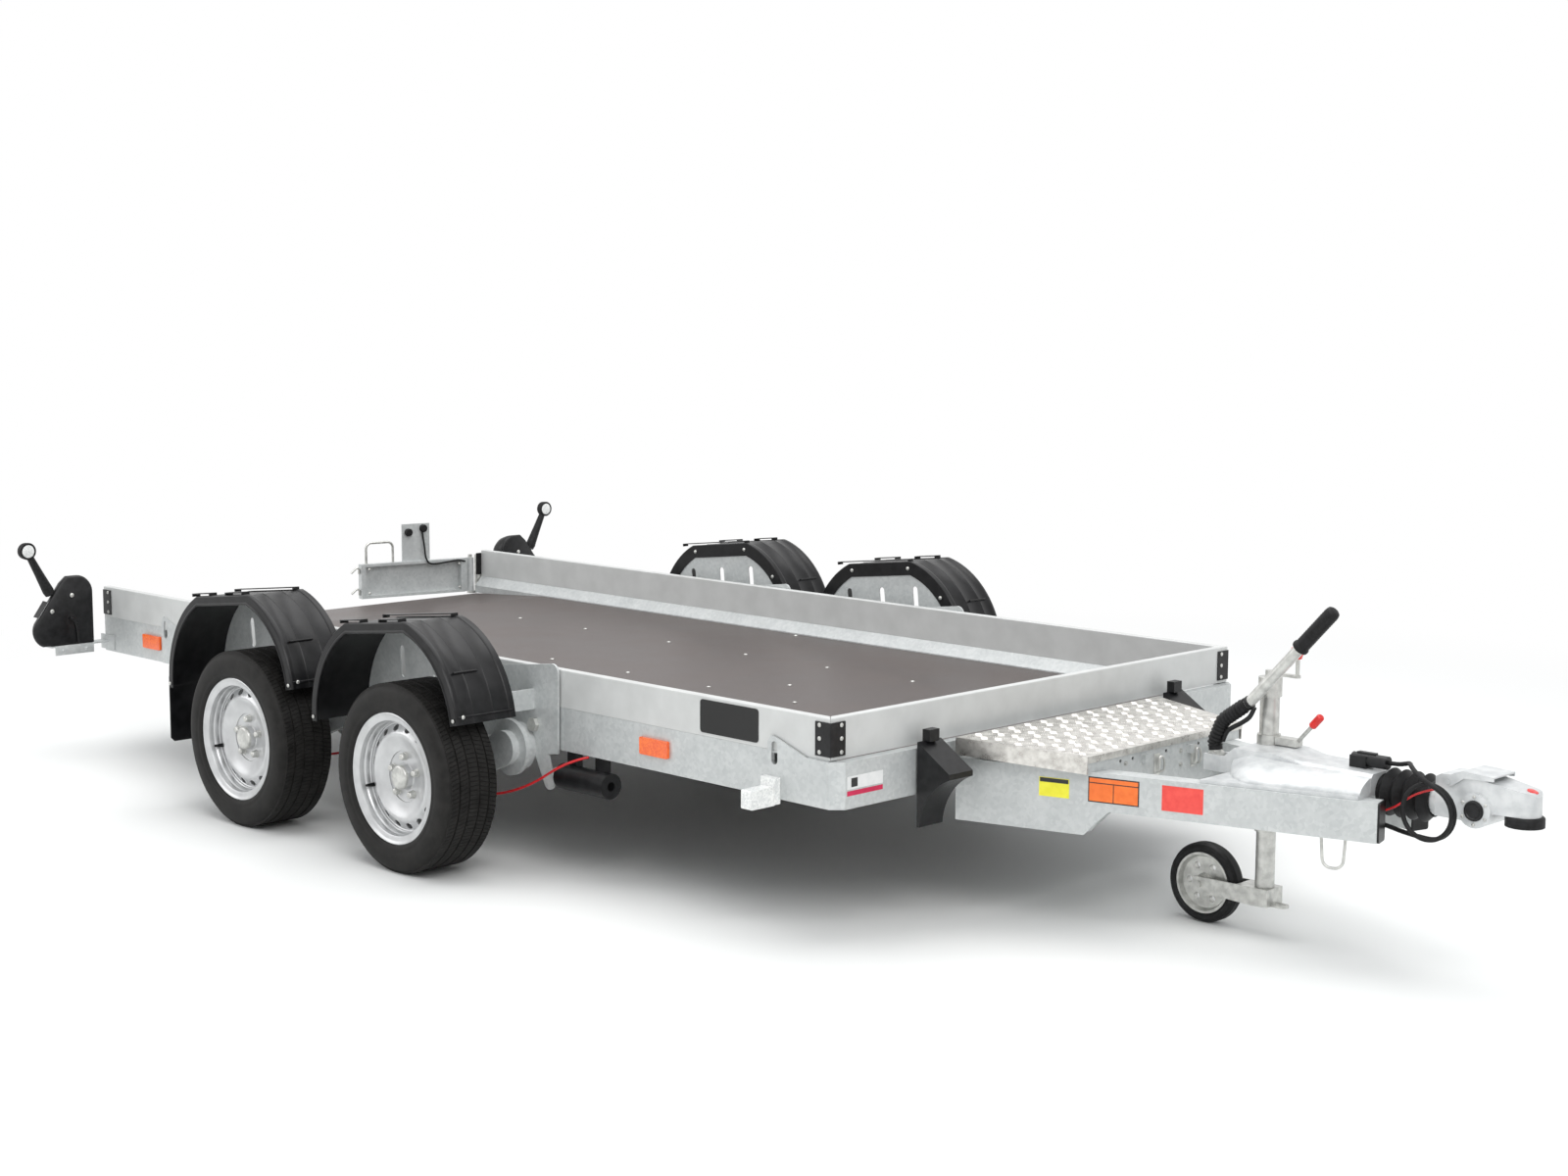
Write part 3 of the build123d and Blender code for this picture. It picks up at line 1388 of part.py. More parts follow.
plug_cable_points = [
    (front_x + 1000, -26, 352), (front_x + 1044, -36, 350), (front_x + 1092, -54, 347),
    *[loop_point(step) for step in range(loop_steps + 1)],
    (front_x + 1158, -87, 484), (front_x + 1135, -79, 496), (front_x + 1111, -58, 504),
    (front_x + 1092, -31, 505), (front_x + 1069, -9, 497), (front_x + 1044, 0, plug_z + 1),
    (front_x + plug_front + seat, 0, plug_z + 1),
]
with BuildPart() as plug_cable:
    with BuildLine() as cord_line:
        FilletPolyline(*plug_cable_points, radius=cord_turns(plug_cable_points, 90))
    with BuildSketch(Plane(cord_line.wires()[0] @ 0, z_dir=cord_line.wires()[0] % 0)):
        Circle(cable_radius)
    sweep(path=cord_line.wires()[0])
save(plug_cable, "plug_cable")
print("plug cable", round(cord_line.wires()[0].length), cord_turns(plug_cable_points, 90))

rope_points = [
    (front_x + 1006, -73, 376), (front_x + 1024, -62, 382), (front_x + 1052, -57, 392),
    (front_x + 1082, -62, 408),
    (front_x + 1114, -65, 434), (front_x + 1146, -62, 452), (front_x + 1180, -58, 462),
]
with BuildPart() as breakaway_rope:
    with BuildLine() as rope_line:
        FilletPolyline(*rope_points, radius=cord_turns(rope_points, 60))
    with BuildSketch(Plane(rope_line.wires()[0] @ 0, z_dir=rope_line.wires()[0] % 0)):
        Circle(2.5)
    sweep(path=rope_line.wires()[0])
save(breakaway_rope, "breakaway_rope")
print("rope", round(rope_line.wires()[0].length), cord_turns(rope_points, 60))
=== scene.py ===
# %% [markdown]
# This lesson dresses a low twin-axle trailer whose deck drops to the ground. The frame of solid
# parts comes from CAD, so nothing here is fitted by hand: each new piece is modelled where its
# carrier already is, in metres, with X forwards, Y to the left and Z up from the ground.

# %% Load the frame
import bpy
import bmesh
import json
from math import atan2, copysign, cos, pi, radians, sin, tan
from mathutils import Matrix, Vector


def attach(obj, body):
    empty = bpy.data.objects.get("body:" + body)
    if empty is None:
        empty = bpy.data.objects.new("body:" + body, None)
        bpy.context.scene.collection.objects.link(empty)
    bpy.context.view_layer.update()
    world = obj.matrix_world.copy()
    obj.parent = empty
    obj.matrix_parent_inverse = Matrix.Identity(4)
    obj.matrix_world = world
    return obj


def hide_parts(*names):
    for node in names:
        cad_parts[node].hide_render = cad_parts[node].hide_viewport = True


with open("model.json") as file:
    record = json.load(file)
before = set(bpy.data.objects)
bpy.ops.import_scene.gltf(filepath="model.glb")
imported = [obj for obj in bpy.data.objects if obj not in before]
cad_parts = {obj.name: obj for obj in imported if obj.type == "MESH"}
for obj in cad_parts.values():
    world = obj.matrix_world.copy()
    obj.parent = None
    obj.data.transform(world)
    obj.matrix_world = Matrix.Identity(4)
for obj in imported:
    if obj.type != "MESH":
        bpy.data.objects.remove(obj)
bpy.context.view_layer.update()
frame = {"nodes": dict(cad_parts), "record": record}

nodes = frame["nodes"]
front_x = 1.0992
deck_length = 3.480
half_deck = 0.825
rear_x = front_x - deck_length
floor_top = 0.424

# %% [markdown]
# The camera stands ahead of the trailer on its right-hand side, at about the height of a standing
# person's eyes, with a lens slightly longer than normal. The direction it looks in and the one to
# its right are easier to read than three angles, so the turned matrix is built from them.

# %% Camera
def added(name, data):
    """A new object with this data, linked to the scene."""
    thing = bpy.data.objects.new(name, data)
    bpy.context.collection.objects.link(thing)
    return thing


camera_at = Vector((front_x + 3.8224, -4.7882, 1.5875))
look = Vector((-0.70301, 0.69970, -0.12725))
right = Vector((0.70521, 0.70900, 0.00251))
up = right.cross(look)
camera_data = bpy.data.cameras.new("camera")
camera_data.sensor_width = 36
camera_data.lens = 53.587
camera = added("camera", camera_data)
turn = Matrix((right, up, -look)).transposed().to_4x4()
camera.matrix_world = Matrix.Translation(camera_at) @ turn
bpy.context.scene.camera = camera
print("camera stands", round((camera_at - Vector((0, 0, 0.4))).length, 2), "m away")

# %% [markdown]
# The set is a pale studio: one floor, a white world, and large soft lamps. A few metres out the
# floor fades into the world's white, so no horizon shows, while the shadow below the trailer
# stays. Only the camera and reflections see that white, so it doesn't light the trailer from
# below. Small helpers keep the wiring short: an input takes a value or another node's output.

# %% Floor
def wire(tree, node, inputs):
    """Give each input of a node its value, or link it to the output it comes from."""
    for key, value in inputs.items():
        if isinstance(value, bpy.types.NodeSocket):
            tree.links.new(value, node.inputs[key])
        else:
            node.inputs[key].default_value = value


def add_node(tree, kind, inputs, **settings):
    """A new shader node with its settings and inputs."""
    node = tree.nodes.new("ShaderNode" + kind)
    for key, value in settings.items():
        setattr(node, key, value)
    wire(tree, node, inputs)
    return node


def maths(tree, operation, one, two):
    """The output of a maths node that works on two other outputs."""
    return add_node(tree, "Math", {0: one, 1: two}, operation=operation).outputs[0]


def show_white(tree, share, plain, white, output):
    """Send plain to the output where share is 0, and white where it is 1."""
    mix = add_node(tree, "MixShader", {"Fac": share, 1: plain.outputs[0], 2: white.outputs[0]})
    wire(tree, tree.nodes[output], {"Surface": mix.outputs[0]})


def new_material(name):
    """A new material with its node tree and main shader."""
    material = bpy.data.materials.new(name)
    material.use_nodes = True
    return material, material.node_tree, material.node_tree.nodes["Principled BSDF"]


bpy.context.scene.view_settings.view_transform = "Standard"
fade_from, fade_to = 2.4, 5.2
floor_material, tree, shader = new_material("studio_floor")
wire(tree, shader, {"Base Color": (0.90, 0.90, 0.885, 1), "Roughness": 0.62})
place = add_node(tree, "TexCoord", {}).outputs["Object"]
distance = add_node(tree, "VectorMath", {0: place}, operation="LENGTH").outputs["Value"]
fade = add_node(tree, "MapRange", {"From Min": fade_from, "From Max": fade_to, "Value": distance},
                interpolation_type="SMOOTHSTEP")
ray = add_node(tree, "LightPath", {}).outputs
seen = maths(tree, "MAXIMUM", ray["Is Camera Ray"], ray["Is Glossy Ray"])
faded = maths(tree, "MULTIPLY", seen, fade.outputs[0])
show_white(tree, faded, shader, add_node(tree, "Emission", {}), "Material Output")
ground = bmesh.new()
bmesh.ops.create_grid(ground, x_segments=1, y_segments=1, size=30)
floor_mesh = bpy.data.meshes.new("studio_floor")
ground.to_mesh(floor_mesh)
ground.free()
floor_mesh.materials.append(floor_material)
floor = added("studio_floor", floor_mesh)
print("the floor fades from", fade_from, "m out to", fade_to, "m")

# %% [markdown]
# The world is white at strength 1 to the camera, in reflections and through clear things. For
# every other ray it is a weaker, slightly cool sky, so pale metal keeps its shades.

# %% World
world = bpy.data.worlds.new("studio")
bpy.context.scene.world = world
world.use_nodes = True
tree = world.node_tree
background = tree.nodes["Background"]
wire(tree, background, {"Color": (1, 1, 1, 1), "Strength": 1.0})
sky_strength = 0.62
sky = add_node(tree, "Background", {"Color": (0.93, 0.97, 1.0, 1), "Strength": sky_strength})
ray = add_node(tree, "LightPath", {}).outputs
seen = maths(tree, "MAXIMUM", ray["Is Camera Ray"], ray["Is Glossy Ray"])
seen = maths(tree, "MAXIMUM", seen, ray["Is Transmission Ray"])
show_white(tree, seen, sky, background, "World Output")
print("the sky lights the trailer at strength", sky_strength)

# %% [markdown]
# Three square lamps stand round the trailer. They are metres wide, because a wide lamp gives the
# soft edge that a studio's shadow has, and each is aimed at a point low in the deck.

# %% Lamps
lamps = (
    # name, place, size, watts
    ("key", (5.0, -3.5, 5.5), 4.0, 210),
    ("top", (-0.5, 0.5, 6.0), 6.0, 260),
    ("fill", (-5.0, -5.0, 3.5), 4.0, 90),
)
lit_point = Vector((0, 0, 0.4))
for name, place, size, watts in lamps:
    data = bpy.data.lights.new(name, "AREA")
    data.size = size
    data.energy = watts
    lamp = added(name, data)
    lamp.location = place
    lamp.rotation_euler = (lit_point - Vector(place)).to_track_quat("-Z", "Y").to_euler()
    print(name, "lamp:", size, "m square,", watts, "W")

# %% [markdown]
# Every finish starts from the same three ideas: a noise that drifts between two colours, a
# roughness that follows the same noise, so some places are shinier than others, and a fine bump.
# Galvanised steel and lenses show cells instead of clouds. All is wired on Object coordinates, so
# a pattern stays fixed to its piece at its real size.

# %% A finish with drift, grain and bump
def raise_pattern(tree, height, strength):
    """Let a pattern stand out from a material's surface by up to a millimetre."""
    raised = add_node(tree, "Bump", {"Strength": strength, "Distance": 0.001, "Height": height})
    wire(tree, tree.nodes["Principled BSDF"], {"Normal": raised.outputs[0]})


def finish(name, dark, light, size, rough, metal=0.0, bump=0.0, bump_size=None, cells=False,
           coat=0.0, gloss=0.5, contrast=(0.35, 0.65)):
    """A procedural material: colour from dark to light, roughness from rough[0] to rough[1]."""
    material, tree, shader = new_material(name)
    place = add_node(tree, "TexCoord", {}).outputs["Object"]
    if cells:
        pattern = add_node(tree, "TexVoronoi", {"Scale": 1 / size, "Vector": place})
        tone = add_node(tree, "SeparateColor", {0: pattern.outputs["Color"]})
        drift = add_node(tree, "TexNoise", {"Scale": 0.12 / size, "Detail": 4, "Vector": place})
        pattern = add_node(tree, "Mix", {"Factor": 0.68, "A": tone.outputs[0],
                                         "B": drift.outputs[0]})
    else:
        pattern = add_node(tree, "TexNoise", {"Scale": 1 / size, "Detail": 6, "Vector": place})
    value = pattern.outputs[0]
    ramp = add_node(tree, "ValToRGB", {0: value})
    for stop, position, colour in zip(ramp.color_ramp.elements, contrast, (dark, light)):
        stop.position = position
        stop.color = (*colour, 1)
    level = add_node(tree, "MapRange", {"To Min": rough[0], "To Max": rough[1], "Value": value})
    wire(tree, shader, {"Base Color": ramp.outputs[0], "Roughness": level.outputs[0],
                        "Metallic": metal, "Coat Weight": coat, "Specular IOR Level": gloss})
    if bump:
        fine = 1 / (bump_size or size / 6)
        grain = add_node(tree, "TexNoise", {"Scale": fine, "Detail": 3, "Vector": place})
        raise_pattern(tree, grain.outputs[0], bump)
    return material


galvanised = finish("galvanised_steel", (0.47, 0.49, 0.49), (0.63, 0.645, 0.64), 0.009,
                    (0.42, 0.60), metal=0.4, bump=0.08, bump_size=0.004, cells=True,
                    contrast=(0.18, 0.82))
bright_zinc = finish("bright_zinc", (0.46, 0.46, 0.44), (0.66, 0.66, 0.63), 0.02, (0.28, 0.42),
                     metal=0.7, bump=0.08)
board_metal = finish("anodised_board", (0.58, 0.585, 0.575), (0.64, 0.645, 0.635), 0.08,
                     (0.40, 0.48), metal=0.2, bump=0.02)
cast = finish("bright_casting", (0.56, 0.575, 0.58), (0.70, 0.71, 0.71), 0.03, (0.34, 0.48),
              metal=0.3, bump=0.12, bump_size=0.003)
tread_metal = finish("tread_plate", (0.52, 0.50, 0.47), (0.78, 0.76, 0.72), 0.02, (0.22, 0.36),
                     metal=0.8)
silver_paint = finish("silver_rim_paint", (0.50, 0.505, 0.51), (0.60, 0.605, 0.61), 0.05,
                      (0.28, 0.36), metal=0.6, coat=0.15)
black_guard = finish("black_guard_plastic", (0.004, 0.004, 0.0045), (0.010, 0.010, 0.011), 0.03,
                     (0.26, 0.36), bump=0.12, bump_size=0.0012, gloss=0.28)
black_plastic = finish("black_moulding", (0.005, 0.005, 0.0055), (0.013, 0.013, 0.014), 0.02,
                       (0.28, 0.40), bump=0.15, bump_size=0.001, gloss=0.3)
black_rubber = finish("black_rubber", (0.005, 0.005, 0.005), (0.013, 0.013, 0.014), 0.012,
                      (0.45, 0.62), bump=0.1, gloss=0.25)
tyre_rubber = finish("tyre_rubber", (0.007, 0.0065, 0.006), (0.016, 0.015, 0.014), 0.03,
                     (0.52, 0.68), bump=0.15, bump_size=0.002, gloss=0.22)
red_plastic = finish("red_plastic", (0.62, 0.008, 0.006), (0.76, 0.012, 0.008), 0.02,
                     (0.22, 0.30), coat=0.3)
red_sleeve = finish("red_cable_sleeve", (0.50, 0.008, 0.012), (0.66, 0.012, 0.016), 0.01,
                    (0.35, 0.45))
orange_lens = finish("orange_reflector", (0.86, 0.10, 0.006), (1.0, 0.17, 0.012), 0.004,
                     (0.10, 0.22), coat=0.6, bump=0.5, bump_size=0.002, cells=True)
white_lens = finish("clear_lens", (0.70, 0.71, 0.70), (0.92, 0.92, 0.90), 0.004, (0.06, 0.16),
                    coat=0.6, bump=0.4, bump_size=0.003, cells=True)
plate_black = finish("blank_plate", (0.004, 0.004, 0.004), (0.007, 0.007, 0.007), 0.05,
                     (0.50, 0.60))

# %% [markdown]
# The deck is coated plywood: a dark brown film with a fine woven mesh pressed into it. Two
# waves at right angles make the mesh as a bump, and a broad noise gives the cloudy shine that
# such a board has under a soft lamp.

# %% Coated floor board
floor_board = finish("coated_board", (0.040, 0.026, 0.023), (0.062, 0.043, 0.038), 0.25,
                     (0.30, 0.44), contrast=(0.3, 0.7))
tree = floor_board.node_tree
place = add_node(tree, "TexCoord", {}).outputs["Object"]
mesh_scale = 60
lengthways, crossways = [
    add_node(tree, "TexWave", {"Scale": mesh_scale, "Vector": place}, bands_direction=direction)
    for direction in ("X", "Y")
]
weave = maths(tree, "MULTIPLY", lengthways.outputs["Fac"], crossways.outputs["Fac"])
raise_pattern(tree, weave, 0.25)
print("materials made:", len(bpy.data.materials))

# %% [markdown]
# The record gives every CAD node a finish slot. One table turns slots into materials, so no part
# of the frame is left in plain grey. The mudguards alone take a glossier black than their slot.

# %% Finish the CAD nodes
finishes = {
    "galvanised": galvanised, "board_aluminium": board_metal, "floor_board": floor_board,
    "tread_plate": tread_metal, "cast_housing": cast, "black_plastic": black_plastic,
    "black_rubber": black_rubber, "tyre_rubber": tyre_rubber, "rim_silver": silver_paint,
    "red_plastic": red_plastic, "red_sleeve": red_sleeve, "orange_lens": orange_lens,
    "white_lens": white_lens, "plate_black": plate_black, "zinc_bright": bright_zinc,
}
for entry in frame["record"]["subparts"]:
    node = nodes[entry["node"]]
    material = finishes[entry["material_slot"]]
    if entry["node"].startswith("mudguards"):
        material = black_guard
    if node.material_slots:
        for slot in node.material_slots:
            slot.material = material
    else:
        node.data.materials.append(material)

# %% [markdown]
# New pieces all end the same way: the bmesh becomes an object at the origin, takes its
# materials, and rides on a body of the frame.

# %% Turn a bmesh into a riding piece
def piece(name, form, material, body, replaces=(), smooth=None):
    """A finished piece from a bmesh; its place is in its mesh."""
    bmesh.ops.recalc_face_normals(form, faces=form.faces)
    mesh = bpy.data.meshes.new(name)
    form.to_mesh(mesh)
    form.free()
    for one in material if isinstance(material, (list, tuple)) else [material]:
        mesh.materials.append(one)
    thing = added(name, mesh)
    if smooth is not None:
        mesh.shade_smooth()
        mesh.set_sharp_from_angle(angle=radians(smooth))
    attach(thing, body)
    if replaces:
        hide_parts(*replaces)
    print(name, len(mesh.polygons), "faces on", body)


# %% [markdown]
# Tyres are what the eye meets first. A tyre's cross-section is spun through one tread pitch,
# the crown faces are inset and raised as blocks, and the pitch is then copied round the wheel.
# Shearing the blocks towards the shoulders gives the slanted sipes of a road tyre.

# %% Tyres with tread blocks
wheel_side = 1.067
tyre_radius = 0.2625
front_axle_behind, axle_gap = 1.345, 0.783
axle_x = {"front": front_x - front_axle_behind, "rear": front_x - front_axle_behind - axle_gap}
wheels = [(end, side, sign, Vector((x, sign * wheel_side, tyre_radius)))
          for end, x in axle_x.items() for side, sign in (("right", -1), ("left", 1))]
pitches = 66
crown_from, block_width = 0.2530, 0.006
block_edge, block_clearance = 0.0011, 0.0005
shear_from, shear = 0.247, 1.1
tyre_profile = (
    # across the wheel, from the axle
    (-0.0745, 0.1602), (-0.0745, 0.1826), (-0.0850, 0.1832), (-0.0893, 0.1900), (-0.0905, 0.1960),
    (-0.0898, 0.2000), (-0.0915, 0.2050), (-0.0918, 0.2160), (-0.0912, 0.2280), (-0.0890, 0.2400),
    (-0.0850, 0.2480), (-0.0800, 0.2530), (-0.0745, 0.2560), (-0.0500, 0.2585), (-0.0460, 0.2585),
    (-0.0190, 0.2590), (-0.0150, 0.2590),
)
tyre_profile += tuple((-across, high) for across, high in reversed(tyre_profile))


def tyre_form(centre):
    """The whole tyre about an axle that runs along Y."""
    form = bmesh.new()
    ring = [form.verts.new(centre + Vector((0, across, high))) for across, high in tyre_profile]
    for one, other in zip(ring, ring[1:] + ring[:1]):
        form.edges.new((one, other))
    step = 2 * pi / pitches
    bmesh.ops.spin(form, geom=form.verts[:] + form.edges[:], cent=centre, axis=(0, 1, 0),
                   angle=step, steps=2, use_duplicate=False)
    bmesh.ops.recalc_face_normals(form, faces=form.faces)
    blocks = []
    for face in form.faces:
        middle = face.calc_center_median() - centre
        high = Vector((middle.x, 0, middle.z)).length
        width = max(v.co.y for v in face.verts) - min(v.co.y for v in face.verts)
        if high > crown_from and width > block_width:
            blocks.append(face)
    bmesh.ops.inset_individual(form, faces=blocks, thickness=block_edge, depth=0)
    tops = [face for face in blocks if face.is_valid]
    lifted = {v for face in tops for v in face.verts}
    for v in lifted:
        out = Vector((v.co.x - centre.x, 0, v.co.z - centre.z))
        v.co += out.normalized() * (tyre_radius - block_clearance - out.length)
    for v in form.verts:
        out = v.co - centre
        if Vector((out.x, 0, out.z)).length > shear_from:
            turn = Matrix.Rotation(abs(out.y) * shear, 3, "Y")
            v.co = centre + turn @ out
    whole = form.verts[:] + form.edges[:] + form.faces[:]
    bmesh.ops.spin(form, geom=whole, cent=centre, axis=(0, 1, 0), angle=2 * pi,
                   steps=pitches, use_duplicate=True)
    bmesh.ops.remove_doubles(form, verts=form.verts, dist=0.0002)
    bmesh.ops.recalc_face_normals(form, faces=form.faces)
    return form


for end, side, sign, hub in wheels:
    name = f"tyre_{end}_{side}"
    piece(f"treaded_{name}", tyre_form(hub), tyre_rubber, f"wheel_{end}_{side}",
          replaces=(name,), smooth=32)

# %% [markdown]
# Two cords hang at the coupling: the black lighting cable with its parked plug, and the thin red
# breakaway rope. Each is a smooth NURBS line through the same points as its CAD tube.

# %% Cords at the coupling
def cord_line(name, points, radius, material, node):
    """A cable as a smooth curve with a round section."""
    data = bpy.data.curves.new(name, "CURVE")
    data.dimensions = "3D"
    data.bevel_depth = radius
    data.bevel_resolution = 3
    data.use_fill_caps = True
    spline = data.splines.new("NURBS")
    spline.points.add(len(points) - 1)
    for spot, co in zip(spline.points, points):
        spot.co = (*co, 1)
    spline.order_u = 3
    spline.use_endpoint_u = True
    spline.resolution_u = 6
    data.materials.append(material)
    thing = added(name, data)
    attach(thing, "frame")
    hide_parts(node)
    print(name, len(points), "points")
    return thing


loop_ahead, loop_height, loop_reach = 1.168, 0.409, 0.066
loop_points = [
    (loop_ahead + loop_reach * cos(radians(30 * step - 105)), -0.067 - 0.014 * step / 12,
     loop_height + loop_reach * sin(radians(30 * step - 105)))
    for step in range(19)
]
cable_points = [(front_x + ahead, y, z) for ahead, y, z in (
    (1.000, -0.026, 0.352), (1.044, -0.036, 0.350), (1.092, -0.054, 0.347), *loop_points,
    (1.158, -0.087, 0.484), (1.135, -0.079, 0.496), (1.111, -0.058, 0.504),
    (1.092, -0.031, 0.505), (1.069, -0.009, 0.497), (1.044, 0, 0.490), (1.0183, 0, 0.490),
)]
cable = cord_line("lighting_cable", cable_points, 0.0055, black_rubber,
                  "plug_cable")
rope_points = [(front_x + ahead, y, z) for ahead, y, z in (
    (1.006, -0.073, 0.376), (1.024, -0.062, 0.382), (1.052, -0.057, 0.392),
    (1.082, -0.062, 0.408), (1.114, -0.065, 0.434), (1.146, -0.062, 0.452),
    (1.180, -0.058, 0.462),
)]
rope = cord_line("breakaway_line", rope_points, 0.0025, red_sleeve,
                 "breakaway_rope")

# %% [markdown]
# Most small parts are one of three forms: something turned, such as a bolt or a cap; a flat plate
# with softened edges; or a bent rod. One helper for each keeps the later cells short. Every form
# is closed, so its faces can be made to look outwards all at once.

# %% Turned forms
def join_rings(form, rings, material=0, left_out=()):
    """Skin neighbouring rings of vertices, and close the ends that aren't points."""
    for number, (one, two) in enumerate(zip(rings, rings[1:])):
        for k in range(max(len(one), len(two))):
            if (number, k) in left_out:
                continue
            corners = (one[k % len(one)], one[(k + 1) % len(one)],
                       two[(k + 1) % len(two)], two[k % len(two)])
            form.faces.new(list(dict.fromkeys(corners))).material_index = material
    for ring in (rings[0], rings[-1]):
        if len(ring) > 1:
            form.faces.new(ring).material_index = material


def circle(form, centre, side, other, radius, steps):
    """A ring of vertices, or a single one where the radius is 0."""
    turns = [2 * pi * k / steps for k in range(steps if radius > 0 else 1)]
    return [form.verts.new(centre + radius * (side * cos(turn) + other * sin(turn)))
            for turn in turns]


def turned(form, profile, middle, along, steps=24, material=0):
    """Spin a profile of (distance along, radius) pairs round an axis."""
    along = Vector(along).normalized()
    side = along.orthogonal().normalized()
    other = along.cross(side)
    rings = [circle(form, Vector(middle) + along * far, side, other, radius, steps)
             for far, radius in profile]
    join_rings(form, rings, material)


# %% [markdown]
# A plate starts as a flat outline, is extruded to its thickness and has its edges bevelled, much
# as a sheet is cut out and deburred. A rectangle and an upright block are plates as well.

# %% Plates and blocks
def placed(origin, u, v):
    """A turned place: u and v lie in the plate, and their cross product is its outward side."""
    u = Vector(u).normalized()
    v = Vector(v).normalized()
    turn = Matrix((u, v, u.cross(v))).transposed().to_4x4()
    return Matrix.Translation(origin) @ turn


def plate(form, outline, place, thick, bevel=0.0, material=0):
    """A flat plate from an outline of (u, v) pairs, with softened edges."""
    base = [form.verts.new(place @ Vector((u, v, 0))) for u, v in outline]
    face = form.faces.new(base)
    grown = bmesh.ops.extrude_face_region(form, geom=[face])["geom"]
    top = [item for item in grown if isinstance(item, bmesh.types.BMVert)]
    bmesh.ops.translate(form, verts=top, vec=place.to_3x3() @ Vector((0, 0, thick)))
    edges = {edge for v in base + top for edge in v.link_edges}
    faces = {face for edge in edges for face in edge.link_faces}
    if bevel:
        grown = bmesh.ops.bevel(form, geom=list(edges), offset=bevel, segments=2,
                                affect="EDGES", profile=0.5, material=-1, clamp_overlap=True)
        faces = {face for face in faces if face.is_valid} | set(grown["faces"])
    for face in faces:
        face.material_index = material


def rectangle(low_u, high_u, low_v, high_v):
    """The four corners of a rectangle, as an outline."""
    return (low_u, low_v), (high_u, low_v), (high_u, high_v), (low_u, high_v)


def block(form, low, high, bevel):
    """An upright block between two corners."""
    outline = rectangle(low[0], high[0], low[1], high[1])
    plate(form, outline, Matrix.Translation((0, 0, low[2])), high[2] - low[2], bevel)


# %% [markdown]
# A rod carries a ring of vertices along a path and keeps each ring square to it. The path may be
# smoothed first, so that a few chosen points make an even bend.

# %% Rods and smooth paths
def rod(form, path, radii, steps):
    """A round bar along a path, with one radius or a radius for each point."""
    path = [Vector(spot) for spot in path]
    if not isinstance(radii, (list, tuple)):
        radii = [radii] * len(path)
    side = None
    rings = []
    for k, spot in enumerate(path):
        ahead = (path[min(k + 1, len(path) - 1)] - path[max(k - 1, 0)]).normalized()
        if side is None:
            side = ahead.orthogonal()
        side = (side - ahead * side.dot(ahead)).normalized()
        rings.append(circle(form, spot, side, ahead.cross(side), radii[k], steps))
    join_rings(form, rings)


def smooth_path(spots, count):
    """A smooth line through spots, with count points from each spot to the next."""
    spots = [Vector(spot) for spot in spots]
    line = []
    for k in range(len(spots) - 1):
        before = spots[max(k - 1, 0)]
        one, two = spots[k], spots[k + 1]
        after = spots[min(k + 2, len(spots) - 1)]
        for n in range(count):
            t = n / count
            line.append(0.5 * (2 * one + (two - before) * t
                               + (2 * before - 5 * one + 4 * two - after) * t ** 2
                               + (3 * one - before - 3 * two + after) * t ** 3))
    line.append(spots[-1])
    return line


# %% [markdown]
# Screws have domed heads and bolts have hexagon heads. Both are turned forms: a hexagon is what a
# turned form becomes when it is spun in six steps.

# %% Screw and bolt heads
dome = ((0, 1.0), (0.28, 1.0), (0.46, 0.86), (0.58, 0.55), (0.62, 0))


def screw_heads(form, spots, along, radius, material=0):
    """Domed heads that sit on a surface."""
    profile = [(height * radius, wide * radius) for height, wide in dome]
    for spot in spots:
        turned(form, profile, spot, along, 16, material)


def hexagon_heads(form, spots, along, radius, high):
    """Hexagon heads with a small chamfer and a washer below."""
    washer = high * 0.25
    for spot in spots:
        turned(form, ((0, radius * 1.25), (washer, radius * 1.25)), spot, along)
        start = Vector(spot) + Vector(along).normalized() * washer
        turned(form, ((0, radius), (high * 0.65, radius), (high * 0.75, radius * 0.86)), start,
               along, 6)


# %% [markdown]
# The mudguards are pressed from black plastic. In side view each is an arch with a flat top; its
# cross-section has a rounded bead along its outer lip, two creases along the crown and a flange
# towards the deck. That cross-section is carried along the arch as a closed loop, so the guard has
# a real thickness. Low bridges on the flat top carry a person's foot.

# %% The mudguards' line and section
guard_side = 1.022
guard_tilt = radians(6.4)
guard_middle = {end: x - 0.085 for end, x in axle_x.items()}
guard_base = tyre_radius + 0.138
guard_inner = guard_side - 0.100
guard_pads = (
    # along the guard from, to, across it from, to
    (-0.175, -0.074, 0.162, 0.188), (0.011, 0.108, 0.162, 0.188), (-0.200, 0.130, 0.004, 0.026),
)
guard_section = (
    # distance across from the inner edge, distance in from the crown
    (-0.0020, 0.0450), (-0.0020, 0.0020), (0.0000, 0.0002), (0.0120, 0.0000), (0.0180, 0.0006),
    (0.0200, 0.0026), (0.0690, 0.0020), (0.0715, 0.0006), (0.0740, 0.0020), (0.1350, 0.0020),
    (0.1375, 0.0006), (0.1400, 0.0020), (0.1740, 0.0030), (0.1775, 0.0010), (0.1850, 0.0000),
    (0.1930, 0.0010), (0.1968, 0.0040), (0.1972, 0.0220), (0.1996, 0.0245), (0.2000, 0.0275),
    (0.1985, 0.0302), (0.1950, 0.0302), (0.1932, 0.0270), (0.1934, 0.0080), (0.1880, 0.0045),
    (0.1400, 0.0055), (0.0720, 0.0055), (0.0120, 0.0042), (0.0006, 0.0041), (0.0006, 0.0450),
)


